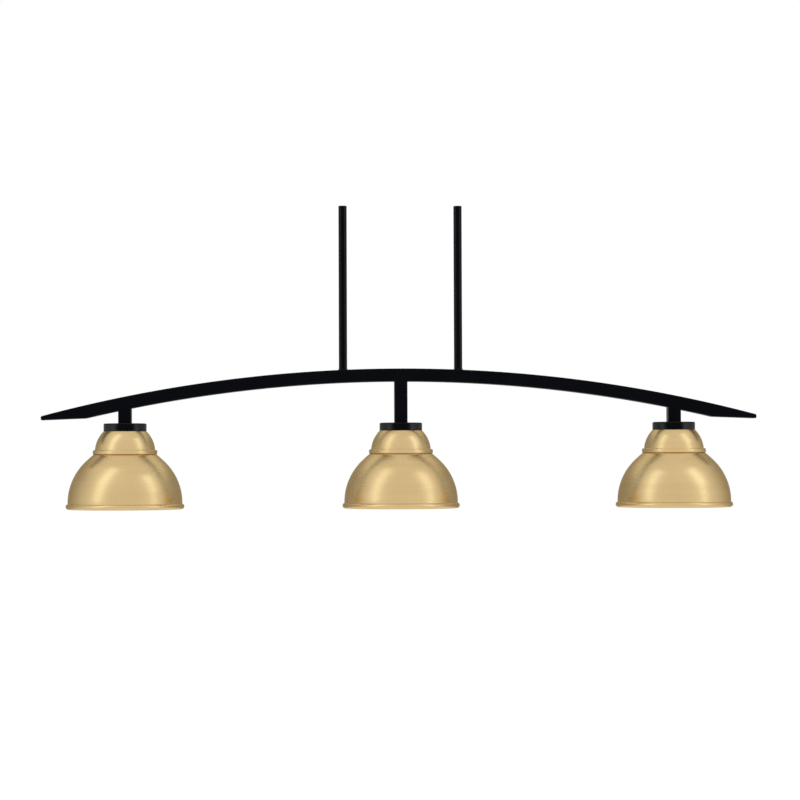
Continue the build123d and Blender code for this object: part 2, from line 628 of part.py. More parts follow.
def supply_lead():
    """The lead that comes down the left stem and turns along the bar to the splice block."""
    height = LEAD_WALL_GAP + LEAD_DIAMETER / 2
    place = -STEM_SPACING / 2
    port = SPLICE_PLACE - SPLICE_LENGTH / 2 + LEAD_PORT_DEPTH
    corner = bar_point(place, 0, height)
    corner.X = place
    return lead("supply_lead", [Vector(place, 0, -LEAD_TOP_CLEARANCE), corner, bar_point(port, 0, height)])


def lamp_lead(name, place):
    """The lead from the splice block along the bar and down a drop to the lampholder."""
    height = BAR_BORE - LEAD_WALL_GAP - LEAD_DIAMETER / 2
    end = -1 if place < SPLICE_PLACE else 1
    start = SPLICE_PLACE + end * (SPLICE_LENGTH / 2 - LEAD_PORT_DEPTH)
    lane = LEAD_LANE if place else 0
    straight = STEM_SPACING / 2 + LEAD_BEND
    points = [bar_point(start, lane, height)]
    runs = math.ceil(abs(place - start) / LEAD_RUN)
    for step in range(1, runs):
        along = start + (place - start) * step / runs
        beyond = max(abs(along) - straight, 0) / (abs(place) - straight) if place else 0
        points.append(bar_point(along, lane * (1 - beyond), height))
    corner = bar_point(place, 0, height)
    corner.X = place
    foot = CAP_RIM_HEIGHT - INSERT_DEPTH - LEAD_RECESS
    return lead(name, points + [corner, Vector(place, 0, foot)])


# ---- Making and writing the pieces ----
def save(node, shape):
    """Write one piece, or one group of alike pieces, under its name."""
    export_step(shape, f"parts/{node}.step")


def in_lamp(place, shape):
    """A lamp's piece moved under its drop."""
    return Pos(place, 0, CAP_RIM_HEIGHT) * shape


def group(shapes):
    """Alike pieces as one group of separate solids."""
    return Compound(children=[Compound(list(shape.solids())) for shape in shapes])


bar_square, bar_rounded = bar_blank()
save("arched_bar", arched_bar(bar_rounded))
save("bar_end_plates", bar_end_plates(bar_rounded))

left_stub = stem_stub(bar_square)
stub_of = {"left": left_stub, "right": mirror(left_stub, Plane.YZ)}
stem_places = [Pos(side * STEM_SPACING / 2, 0, 0) for side in SIDES.values()]
for name, stem_place in zip(SIDES, stem_places):
    save(f"stem_stub_{name}", stub_of[name])
    save(f"stem_{name}", stem_place * stem())
save("stem_nipples", group([stem_place * stem_nipple() for stem_place in stem_places]))

LAMP_PIECES = {
    "fitter_cap": fitter_cap,
    "holder_dome": holder_dome,
    "holder_insert": holder_insert,
    "holder_skirt": holder_skirt,
    "screw_shell": screw_shell,
    "centre_contact": centre_contact,
    "shade": shade,
    "shade_ring": shade_ring,
    "bulb_contact": bulb_contact,
    "bulb_insulator": bulb_insulator,
    "bulb_shell": bulb_shell,
    "bulb_globe": bulb_globe,
    "bulb_filaments": bulb_filaments,
}
for piece, make in LAMP_PIECES.items():
    made = make()
    for name, place in LAMPS.items():
        save(f"{piece}_{name}", in_lamp(place, made))

for name, place in LAMPS.items():
    save(f"drop_tube_{name}", drop_tube(place, bar_square))
    save(f"lamp_lead_{name}", lamp_lead(f"lamp_lead_{name}", place))

screws = [Pos(offset, 0, 0) * terminal_screw() for offset in (-SCREW_OFFSET, SCREW_OFFSET)]
save("drop_plugs", group([in_lamp(place, drop_plug()) for place in LAMPS.values()]))
save("cap_nipples", group([in_lamp(place, cap_nipple()) for place in LAMPS.values()]))
save("cap_lock_nuts", group([in_lamp(place, cap_lock_nut()) for place in LAMPS.values()]))
save("terminal_screws", group([in_lamp(place, s) for place in LAMPS.values() for s in screws]))
save("supply_lead", supply_lead())
save("splice_block", splice_block())
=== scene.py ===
"""Looks of a linear island pendant.

An arched bar of square tube hangs from two round stems. Three square drops under it carry low round
caps, lampholders, spun brass shades with a raised waist and a rolled rim, and frosted globe bulbs.
Sizes are in millimetres in the pendant's classes, and in metres in its finishes, its meshes and the
studio. Heights inside a lamp are measured from the rim of its cap, so depths below it are negative.
"""

import logging
import math
from dataclasses import dataclass, field
from enum import Enum

import bpy
from mathutils import Matrix, Vector


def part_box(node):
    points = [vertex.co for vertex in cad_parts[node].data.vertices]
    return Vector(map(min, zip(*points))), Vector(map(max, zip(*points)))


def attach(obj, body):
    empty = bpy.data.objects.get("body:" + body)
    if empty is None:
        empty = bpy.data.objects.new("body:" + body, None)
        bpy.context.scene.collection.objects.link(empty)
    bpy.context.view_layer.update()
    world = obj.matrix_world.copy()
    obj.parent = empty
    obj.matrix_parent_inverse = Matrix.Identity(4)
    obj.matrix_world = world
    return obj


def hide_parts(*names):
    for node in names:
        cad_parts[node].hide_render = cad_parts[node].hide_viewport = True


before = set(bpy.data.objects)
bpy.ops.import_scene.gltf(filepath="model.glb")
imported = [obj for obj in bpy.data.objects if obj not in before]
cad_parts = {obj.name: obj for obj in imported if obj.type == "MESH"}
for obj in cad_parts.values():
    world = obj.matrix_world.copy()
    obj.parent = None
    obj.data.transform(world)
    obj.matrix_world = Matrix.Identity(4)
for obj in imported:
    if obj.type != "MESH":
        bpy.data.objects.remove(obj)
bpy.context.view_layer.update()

MM = 0.001
SIDES = ("left", "centre", "right")
WHITE = (1.0, 1.0, 1.0, 1.0)
Piece = bpy.types.Object
Point = tuple[float, float]
Place = tuple[float, float, float]
Colour = tuple[float, float, float]

log = logging.getLogger("pendant")


# ---- Shader maths ----
class Signal:
    """A value carried between shader nodes. Python's operators on it add Math nodes."""

    def __init__(self, recipe: "Recipe", socket: bpy.types.NodeSocket) -> None:
        """Keep the socket and the recipe that it belongs to."""
        self.recipe = recipe
        self.socket = socket

    def _math(self, operation: str, *values: "Signal | float") -> "Signal":
        """Add a Math node of that operation, its sockets filled in order."""
        return self.recipe.node("ShaderNodeMath", {"operation": operation}, dict(enumerate(values)))

    def __add__(self, other: "Signal | float") -> "Signal":
        """Sum with another value."""
        return self._math("ADD", self, other)

    def __radd__(self, other: float) -> "Signal":
        """Sum with a number on the left."""
        return self._math("ADD", other, self)

    def __sub__(self, other: "Signal | float") -> "Signal":
        """Difference from another value."""
        return self._math("SUBTRACT", self, other)

    def __rsub__(self, other: float) -> "Signal":
        """Difference from a number on the left."""
        return self._math("SUBTRACT", other, self)

    def __mul__(self, other: "Signal | float") -> "Signal":
        """Product with another value."""
        return self._math("MULTIPLY", self, other)

    def __rmul__(self, other: float) -> "Signal":
        """Product with a number on the left."""
        return self._math("MULTIPLY", other, self)

    def root(self) -> "Signal":
        """Square root."""
        return self._math("SQRT", self)

    def wrapped(self, low: float, high: float) -> "Signal":
        """Fold the value into a range by whole repeats of it."""
        return self._math("WRAP", self, high, low)

    def between(self, low: float, high: float) -> "Signal":
        """Share of the way from a level that gives 0 to one that gives 1, smooth at both ends."""
        settings = {"interpolation_type": "SMOOTHSTEP"}
        return self.recipe.node("ShaderNodeMapRange", settings, {0: self, 1: low, 2: high})

    def swing(self, spread: float) -> "Signal":
        """How far noise is from its middle of 0.5, times a spread."""
        return spread * (self - 0.5)


class Recipe:
    """The shader nodes of one finish, or of a part of the studio, while they are put together."""

    def __init__(self, tree: bpy.types.NodeTree) -> None:
        """Start from an empty node tree."""
        self.tree = tree
        tree.nodes.clear()

    @classmethod
    def material(cls, name: str) -> "tuple[bpy.types.Material, Recipe]":
        """Start a new material.

        Args:
            name: the material's name.

        Returns:
            The material and the recipe that fills it.
        """
        made = bpy.data.materials.new(name)
        made.use_nodes = True
        return made, cls(made.node_tree)

    def node(
        self,
        kind: str,
        settings: dict[str, object] | None = None,
        inputs: "dict[str | int, object] | None" = None,
        output: "int | str" = 0,
    ) -> Signal:
        """Add any node.

        Args:
            kind: the node's type.
            settings: its properties, set before its sockets.
            inputs: a value or a signal for each socket named or numbered.
            output: the socket that is wanted from it.

        Returns:
            That socket as a signal.
        """
        made = self.tree.nodes.new(kind)
        for name, value in (settings or {}).items():
            setattr(made, name, value)
        for name, value in (inputs or {}).items():
            if isinstance(value, Signal):
                self.tree.links.new(value.socket, made.inputs[name])
            else:
                made.inputs[name].default_value = value
        return Signal(self, made.outputs[output] if made.outputs else None)

    def place(self) -> Signal:
        """The point on the piece, in the metres of the whole object."""
        return self.node("ShaderNodeTexCoord", output="Object")

    def axes(self, vector: Signal) -> tuple[Signal, Signal, Signal]:
        """Split a vector into its X, Y and Z."""
        split = self.node("ShaderNodeSeparateXYZ", inputs={0: vector}).socket.node
        return tuple(Signal(self, socket) for socket in split.outputs)

    def vector(self, x: "Signal | float", y: "Signal | float", z: "Signal | float") -> Signal:
        """Put three numbers together as a vector."""
        return self.node("ShaderNodeCombineXYZ", inputs={0: x, 1: y, 2: z})

    def noise(self, vector: Signal, scale: float, detail: float = 2.0, rough: float = 0.5) -> Signal:
        """Cloudy noise from 0 to 1, by its repeats to a metre and the number and weight of its layers."""
        inputs = {"Vector": vector, "Scale": scale, "Detail": detail, "Roughness": rough}
        return self.node("ShaderNodeTexNoise", inputs=inputs)

    def tint(self, share: Signal, first: Colour, second: Colour) -> Signal:
        """Mix a first colour, shown at a share of 0, with a second, shown at 1."""
        inputs = {0: share, 6: (*first, 1.0), 7: (*second, 1.0)}
        return self.node("ShaderNodeMix", {"data_type": "RGBA"}, inputs, output=2)

    def bump(self, height: Signal, depth: float) -> Signal:
        """Turn a height from 0 to 1 into a bumpy normal, depth in metres."""
        return self.node("ShaderNodeBump", inputs={"Height": height, "Distance": depth, "Strength": 1.0})

    def backdrop(self) -> Signal:
        """Tell the rays that show a background from those that light the pendant.

        Returns:
            1 on camera, glossy and transmission rays, and 0 on the others.
        """
        kinds = ("Is Camera Ray", "Is Glossy Ray", "Is Transmission Ray")
        seen, mirrored, through = (self.node("ShaderNodeLightPath", output=kind) for kind in kinds)
        return seen + mirrored + through

    def surface(self, sockets: dict[str, object]) -> None:
        """Finish a material with one Principled surface."""
        shader = self.node("ShaderNodeBsdfPrincipled", inputs=sockets)
        self.node("ShaderNodeOutputMaterial", inputs={"Surface": shader})


# ---- Finishes ----
@dataclass(frozen=True)
class Finish:
    """A finish that mixes its own material once and gives it to every piece that has it.

    Its two colours lie in cloudy patches, and its roughness varies with the clouds and with a finer
    texture, which also bumps it to a depth.
    """

    name: str
    colour: Colour = (0.5, 0.5, 0.5)
    other: Colour = (0.5, 0.5, 0.5)
    rough: float = 0.4
    texture: float = 1000.0
    depth: float = 0.00001
    clouds: float = 90.0
    patches: Point = (0.35, 0.7)
    uneven: Point = (0.10, 0.06)

    def mix(self, recipe: Recipe) -> None:
        """Put the finish's nodes together."""
        raise NotImplementedError

    def material(self) -> bpy.types.Material:
        """The material of this finish.

        Returns:
            The one material of that name, mixed at first use.
        """
        title = f"{self.name}_finish"
        known = bpy.data.materials.get(title)
        if known:
            return known
        made, recipe = Recipe.material(title)
        self.mix(recipe)
        return made

    def cover(self, recipe: Recipe, cloud: Signal, fine: Signal, others: dict[str, object]) -> None:
        """Finish the material with its patches, roughness and bumps.

        Args:
            recipe: the material's recipe.
            cloud: the noise of its patches.
            fine: the noise of its texture.
            others: what the surface's other sockets take.
        """
        by_cloud, by_texture = self.uneven
        sockets = {
            "Base Color": recipe.tint(cloud.between(*self.patches), self.colour, self.other),
            "Roughness": self.rough + cloud.swing(by_cloud) + fine.swing(by_texture),
            "Normal": recipe.bump(fine, self.depth),
        }
        recipe.surface(sockets | others)

    def dress(self, piece: Piece) -> None:
        """Give a piece this finish alone."""
        if not piece.material_slots:
            piece.data.materials.append(self.material())
        for slot in piece.material_slots:
            slot.material = self.material()


@dataclass(frozen=True)
class PowderCoat(Finish):
    """Satin black powder coat: matt seen square on, glossier at a slant, with fine orange peel.

    The gloss comes in between two slants and is dulled where the surface faces up.
    """

    colour: Colour = (0.0014, 0.0018, 0.0034)
    other: Colour = (0.0026, 0.0031, 0.0054)
    rough: float = 0.34
    texture: float = 1500.0
    clouds: float = 28.0
    patches: Point = (0.35, 0.75)
    uneven: Point = (0.08, 0.05)
    gloss: float = 0.70
    grit: float = 6000.0
    grit_share: float = 0.2
    slants: Point = (0.04, 0.17)
    facing_up: Point = (0.15, 0.6)
    dulled: float = 0.65
    specular: float = 0.01
    coat: Place = (0.05, 0.85, 0.3)

    def mix(self, recipe: Recipe) -> None:
        """Put the finish's nodes together."""
        place = recipe.place()
        peel = recipe.noise(place, self.texture, 1.0)
        grit = recipe.noise(place, self.grit, 2.0)
        cloud = recipe.noise(place, self.clouds, 3.0)
        slant = recipe.node("ShaderNodeLayerWeight", inputs={"Blend": 0.5}, output="Facing")
        upward = recipe.axes(recipe.node("ShaderNodeNewGeometry", output="Normal"))[2]
        gloss = slant.between(*self.slants) * (1 - self.dulled * upward.between(*self.facing_up)) * self.gloss
        least, share, spread = self.coat
        by_cloud, by_grit = self.uneven
        recipe.surface(
            {
                "Base Color": recipe.tint(cloud.between(*self.patches), self.colour, self.other),
                "Roughness": self.rough + cloud.swing(by_cloud) + grit.swing(by_grit),
                "Specular IOR Level": self.specular,
                "Coat Weight": least + gloss * (share + cloud.swing(spread)),
                "Coat Roughness": self.rough,
                "Normal": recipe.bump(peel * (1 - self.grit_share) + grit * self.grit_share, self.depth),
            }
        )


@dataclass(frozen=True)
class SpunBrass(Finish):
    """Lacquered satin brass with the fine rings that spinning and brushing on a lathe leave.

    The rings run round each shade's own axis, and the shades hang at one spacing.
    """

    colour: Colour = (0.652, 0.482, 0.236)
    other: Colour = (0.612, 0.442, 0.206)
    rough: float = 0.27
    texture: float = 1900.0
    depth: float = 0.0000035
    clouds: float = 22.0
    patches: Point = (0.35, 0.68)
    uneven: Point = (0.05, 0.10)
    edge_tint: tuple[float, float, float, float] = (0.88, 0.74, 0.52, 1.0)
    spacing: float = 0.400
    drift: float = 0.02
    broad_rings: float = 118.75
    fine_share: float = 0.7
    tones: Place = (0.45, 0.35, 0.20)
    specks: float = 900.0
    speck_levels: Point = (0.66, 0.78)
    speck_rough: float = 0.05
    brushed: float = 0.55
    lacquer: Point = (0.12, 0.10)
    lacquer_rough: float = 0.28

    def mix(self, recipe: Recipe) -> None:
        """Put the finish's nodes together."""
        place = recipe.place()
        x, y, z = recipe.axes(place)
        across = x.wrapped(-self.spacing / 2, self.spacing / 2)
        radius = (across * across + y * y).root()
        turned = recipe.vector(radius, z, x * self.drift)
        fine = recipe.noise(turned, self.texture, 3.0, 0.65)
        broad = recipe.noise(turned, self.broad_rings, 2.0)
        cloud = recipe.noise(place, self.clouds, 3.0)
        specks = self.speck_rough * recipe.noise(place, self.specks, 2.0).between(*self.speck_levels)
        tone = cloud * self.tones[0] + broad * self.tones[1] + fine * self.tones[2]
        by_cloud, by_ring = self.uneven
        recipe.surface(
            {
                "Base Color": recipe.tint(tone.between(*self.patches), self.colour, self.other),
                "Metallic": 1.0,
                "Roughness": self.rough + fine.swing(by_ring) + cloud.swing(by_cloud) + specks,
                "Specular Tint": self.edge_tint,
                "Anisotropic": self.brushed,
                "Coat Weight": self.lacquer[0] + self.lacquer[1] * cloud,
                "Coat Roughness": self.lacquer_rough,
                "Normal": recipe.bump(fine * self.fine_share + broad * (1 - self.fine_share), self.depth),
            }
        )


@dataclass(frozen=True)
class Metal(Finish):
    """Bare or plated metal with a fine drawn grain along one axis and cloudy wear."""

    colour: Colour = (0.6, 0.58, 0.52)
    other: Colour = (0.5, 0.48, 0.43)
    rough: float = 0.3
    depth: float = 0.000004
    clouds: float = 140.0
    uneven: Point = (0.14, 0.08)
    grain: Place = (900.0, 900.0, 60.0)

    def mix(self, recipe: Recipe) -> None:
        """Put the finish's nodes together."""
        place = recipe.place()
        stretched = recipe.node("ShaderNodeMapping", inputs={"Vector": place, "Scale": self.grain})
        grain = recipe.noise(stretched, 1.0, 3.0, 0.6)
        self.cover(recipe, recipe.noise(place, self.clouds, 3.0), grain, {"Metallic": 1.0})


@dataclass(frozen=True)
class Moulded(Finish):
    """A moulded or fired material: phenolic, nylon, rubbery sheath, steatite or black glaze."""

    rough: float = 0.45
    texture: float = 1200.0
    patches: Point = (0.3, 0.75)
    coat: float = 0.0
    coat_rough: float = 0.12
    coat_least: float = 0.85

    def mix(self, recipe: Recipe) -> None:
        """Put the finish's nodes together."""
        place = recipe.place()
        skin = recipe.noise(place, self.texture, 3.0, 0.6)
        cloud = recipe.noise(place, self.clouds, 4.0)
        coat = self.coat * (self.coat_least + (1 - self.coat_least) * cloud)
        self.cover(recipe, cloud, skin, {"Coat Weight": coat, "Coat Roughness": self.coat_rough})


@dataclass(frozen=True)
class Glass(Finish):
    """Bulb glass: an even frost, or the clearer, warmer glass that holds the filaments."""

    colour: Colour = (0.93, 0.93, 0.92)
    other: Colour = (0.88, 0.88, 0.87)
    rough: float = 0.42
    texture: float = 2600.0
    depth: float = 0.000006
    clouds: float = 45.0
    uneven: Point = (0.04, 0.08)
    clear: float = 0.25
    bending: float = 1.5

    def mix(self, recipe: Recipe) -> None:
        """Put the finish's nodes together."""
        place = recipe.place()
        etch = recipe.noise(place, self.texture, 2.0)
        cloud = recipe.noise(place, self.clouds, 2.0)
        self.cover(recipe, cloud, etch, {"Transmission Weight": self.clear, "IOR": self.bending})


class Slot(Enum):
    """The finishes of the pendant, by the names of the record's material slots."""

    BLACK_METAL = PowderCoat("black_metal")
    SATIN_BRASS = SpunBrass("satin_brass")
    ZINC_STEEL = Metal("zinc_steel")
    BLACK_PHENOLIC = Moulded("black_phenolic", (0.014, 0.013, 0.012), (0.022, 0.020, 0.019), 0.42)
    WHITE_CERAMIC = Moulded("white_ceramic", (0.80, 0.78, 0.72), (0.74, 0.71, 0.64), 0.62, 700.0)
    NICKEL_SHELL = Metal("nickel_shell", (0.66, 0.62, 0.54), (0.56, 0.52, 0.45), 0.26)
    SPRING_BRONZE = Metal("spring_bronze", (0.60, 0.38, 0.22), (0.48, 0.29, 0.16), 0.32)
    TINNED_CONTACT = Metal("tinned_contact", (0.66, 0.66, 0.65), (0.52, 0.52, 0.51), 0.36)
    BLACK_GLAZE = Moulded("black_glaze", (0.018, 0.018, 0.020), (0.026, 0.026, 0.028), 0.2, 400.0, 4e-6, coat=0.7)
    BULB_SHELL_METAL = Metal("bulb_shell_metal", (0.72, 0.72, 0.71), (0.62, 0.62, 0.61), 0.24)
    FROSTED_GLASS = Glass("frosted_glass")
    FILAMENT_GLASS = Glass("filament_glass", (0.92, 0.84, 0.52), (0.88, 0.78, 0.42), 0.2, 300.0, clear=0.5)
    LEAD_SHEATH = Moulded("lead_sheath", (0.042, 0.042, 0.043), (0.055, 0.055, 0.056), 0.38, 500.0)
    SPLICE_PLASTIC = Moulded("splice_plastic", (0.70, 0.70, 0.68), (0.63, 0.63, 0.60), 0.5, 800.0)


# ---- Drawing ----
@dataclass
class Outline:
    """A line of corners in millimetres, each with its own rounding."""

    corners: list[tuple[float, float, float]] = field(default_factory=list)

    def to(self, across: float, height: float, rounding: float = 0.0) -> "Outline":
        """Add a corner with a rounding of that radius."""
        self.corners.append((across, height, rounding))
        return self

    def arc(self, centre: Point, radius: float, start: float, end: float, steps: int) -> "Outline":
        """Add the points of an arc.

        Args:
            centre: the arc's centre.
            radius: its radius.
            start: angle of its first point, in degrees from the first axis.
            end: angle of its last point.
            steps: number of chords.

        Returns:
            The outline itself.
        """
        for step in range(steps + 1):
            angle = math.radians(start + (end - start) * step / steps)
            self.to(centre[0] + radius * math.cos(angle), centre[1] + radius * math.sin(angle))
        return self

    def ridges(
        self, crest: float, valley: float, top: float, pitch: float, count: int, steps: int = 8
    ) -> "Outline":
        """Add rounded thread ridges that run down from a height.

        Args:
            crest: radius over the ridges.
            valley: radius between them.
            top: height where they start, in a valley.
            pitch: ridge to ridge.
            count: number of ridges.
            steps: points to a ridge.

        Returns:
            The outline itself.
        """
        for step in range(count * steps + 1):
            swell = (1 - math.cos(2 * math.pi * step / steps)) / 2
            self.to(valley + (crest - valley) * swell, top - pitch * step / steps)
        return self

    def points(self, closed: bool = True, segments: int = 6) -> list[Point]:
        """The outline's points with its roundings worked out.

        Args:
            closed: whether the last corner runs on to the first.
            segments: chords to a rounding.

        Returns:
            The points in order.
        """
        found: list[Point] = []
        count = len(self.corners)
        for index, (across, height, rounding) in enumerate(self.corners):
            at_end = not closed and index in (0, count - 1)
            if rounding == 0 or at_end:
                found.append((across, height))
                continue
            before = Vector(self.corners[index - 1][:2])
            after = Vector(self.corners[(index + 1) % count][:2])
            found += self._rounded(before, Vector((across, height)), after, rounding, segments)
        return found

    @staticmethod
    def _rounded(before: Vector, corner: Vector, after: Vector, rounding: float, segments: int) -> list[Point]:
        """Work out one rounding.

        Args:
            before: the corner before.
            corner: the corner that is rounded.
            after: the corner after.
            rounding: radius.
            segments: number of chords.

        Returns:
            The points of its arc.
        """
        back = (before - corner).normalized()
        onward = (after - corner).normalized()
        half = back.angle(onward) / 2
        centre = corner + (back + onward).normalized() * rounding / math.sin(half)
        first = corner + back * rounding / math.tan(half) - centre
        last = corner + onward * rounding / math.tan(half) - centre
        sweep = first.angle(last)
        found = []
        for step in range(segments + 1):
            turned = sweep * step / segments
            swung = first * math.sin(sweep - turned) + last * math.sin(turned)
            point = centre + swung / math.sin(sweep)
            found.append((point.x, point.y))
        return found


# ---- Modelling ----
class Bench:
    """The modelling bench, where pieces are drawn, turned, cut, rounded and put in their places."""

    MERGE = 1e-6

    @staticmethod
    def only(piece: Piece) -> None:
        """Select one piece and nothing else."""
        if bpy.context.object and bpy.context.object.mode != "OBJECT":
            bpy.ops.object.mode_set(mode="OBJECT")
        bpy.ops.object.select_all(action="DESELECT")
        piece.select_set(True)
        bpy.context.view_layer.objects.active = piece

    @classmethod
    def edit(cls, piece: Piece, kind: str = "VERT", everything: bool = True) -> None:
        """Open a piece in edit mode.

        Args:
            piece: the piece.
            kind: what is selected there, VERT, EDGE or FACE.
            everything: whether all of it starts selected.
        """
        cls.only(piece)
        bpy.ops.object.mode_set(mode="EDIT")
        bpy.ops.mesh.select_mode(type=kind)
        bpy.ops.mesh.select_all(action="SELECT" if everything else "DESELECT")

    @staticmethod
    def close() -> None:
        """Merge doubles, turn the faces outward and leave edit mode."""
        bpy.ops.mesh.select_all(action="SELECT")
        bpy.ops.mesh.remove_doubles(threshold=Bench.MERGE)
        bpy.ops.mesh.normals_make_consistent(inside=False)
        bpy.ops.object.mode_set(mode="OBJECT")

    @classmethod
    def trace(cls, name: str, path: list[Place], closed: bool) -> Piece:
        """Draw a line of edges, left open in edit mode.

        Args:
            name: the piece's name.
            path: its points, in metres.
            closed: whether the last point runs on to the first.

        Returns:
            The piece that holds the line.
        """
        bpy.ops.object.select_all(action="DESELECT")
        bpy.ops.mesh.primitive_plane_add(size=0.002, location=(0, 0, 0))
        piece = bpy.context.object
        piece.name = piece.data.name = name
        cls.edit(piece)
        bpy.ops.mesh.merge(type="CENTER")
        bpy.ops.transform.translate(value=path[0])
        for here, there in zip(path, path[1:] + path[:1] if closed else path[1:]):
            step = tuple(b - a for a, b in zip(here, there))
            bpy.ops.mesh.extrude_vertices_move(TRANSFORM_OT_translate={"value": step})
        bpy.ops.mesh.select_all(action="SELECT")
        bpy.ops.mesh.remove_doubles(threshold=cls.MERGE)
        return piece

    @classmethod
    def turn(cls, name: str, outline: Outline, steps: int = 96, closed: bool = True, segments: int = 6) -> Piece:
        """Turn an outline of radii and heights about the Z axis.

        Args:
            name: the piece's name.
            outline: its profile.
            steps: number of sides.
            closed: whether the profile is a loop, and not a line between two poles.
            segments: chords to a rounding.

        Returns:
            The turned piece, about the origin.
        """
        path = [(across * MM, 0.0, height * MM) for across, height in outline.points(closed, segments)]
        piece = cls.trace(name, path, closed)
        bpy.ops.mesh.select_all(action="SELECT")
        bpy.ops.mesh.spin(steps=steps, angle=2 * math.pi, center=(0, 0, 0), axis=(0, 0, 1), use_auto_merge=True)
        cls.close()
        return piece

    @classmethod
    def prism(cls, name: str, outline: Outline, low: float, high: float, segments: int = 6) -> Piece:
        """Raise a flat outline of X and Y between two heights.

        Args:
            name: the piece's name.
            outline: its section.
            low: height of its foot, in millimetres.
            high: height of its top.
            segments: chords to a rounding.

        Returns:
            The solid piece.
        """
        path = [(x * MM, y * MM, low * MM) for x, y in outline.points(True, segments)]
        piece = cls.trace(name, path, closed=True)
        bpy.ops.mesh.edge_face_add()
        bpy.ops.mesh.extrude_region_move(TRANSFORM_OT_translate={"value": (0, 0, (high - low) * MM)})
        cls.close()
        return piece

    @classmethod
    def cut(cls, piece: Piece, place: Place, normal: Place) -> None:
        """Cut a piece with a plane and close the cut.

        Args:
            piece: the piece.
            place: a point of the plane, in metres.
            normal: points to the side that falls away.
        """
        cls.edit(piece)
        bpy.ops.mesh.bisect(plane_co=place, plane_no=normal, use_fill=True, clear_outer=True)
        cls.close()

    @classmethod
    def rod(cls, name: str, radius: float, low: float, high: float, steps: int) -> Piece:
        """Turn a solid rod about the Z axis between two heights, in millimetres."""
        outline = Outline().to(0, low).to(radius, low).to(radius, high).to(0, high)
        return cls.turn(name, outline, steps, closed=False)

    @classmethod
    def modify(cls, piece: Piece, kind: str, settings: dict[str, object]) -> None:
        """Add a modifier to a piece and apply it.

        Args:
            piece: the piece.
            kind: the modifier's type.
            settings: its properties.
        """
        cls.only(piece)
        modifier = piece.modifiers.new(kind.lower(), kind)
        for name, value in settings.items():
            setattr(modifier, name, value)
        bpy.ops.object.modifier_apply(modifier=modifier.name)

    @classmethod
    def carve(cls, piece: Piece, cutter: Piece) -> None:
        """Take a cutter's shape out of a piece and throw the cutter away."""
        cls.modify(piece, "BOOLEAN", {"operation": "DIFFERENCE", "solver": "EXACT", "object": cutter})
        bpy.data.objects.remove(cutter, do_unlink=True)

    @classmethod
    def smooth(cls, piece: Piece, angle: float = 30.0) -> Piece:
        """Shade a piece smooth across edges blunter than an angle, with its flats kept flat."""
        cls.only(piece)
        bpy.ops.object.shade_smooth_by_angle(angle=math.radians(angle))
        cls.modify(piece, "WEIGHTED_NORMAL", {"keep_sharp": True})
        return piece

    @classmethod
    def move(cls, piece: Piece, place: Place) -> Piece:
        """Move a piece's mesh by a distance in metres, its object staying at the origin."""
        cls.only(piece)
        piece.location = place
        bpy.ops.object.transform_apply(location=True, rotation=True, scale=True)
        return piece

    @classmethod
    def copy(cls, piece: Piece, name: str, place: Place) -> Piece:
        """Copy a piece with a mesh of its own.

        Args:
            piece: what is copied.
            name: the copy's name.
            place: how far the copy is moved, in metres.

        Returns:
            The copy.
        """
        cls.only(piece)
        bpy.ops.object.duplicate(linked=False)
        twin = bpy.context.object
        twin.name = twin.data.name = name
        return cls.move(twin, place)


def fit(piece: Piece, slot: Slot, body: str, *nodes: str) -> None:
    """Dress a piece and put it on the frame in place of CAD nodes.

    Args:
        piece: the finished piece.
        slot: its finish.
        body: the CAD body that it rides on.
        nodes: the CAD nodes that it stands for.
    """
    slot.value.dress(piece)
    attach(piece, body)
    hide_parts(*nodes)
    log.info("%s: %d faces, on %s", piece.name, len(piece.data.polygons), body)


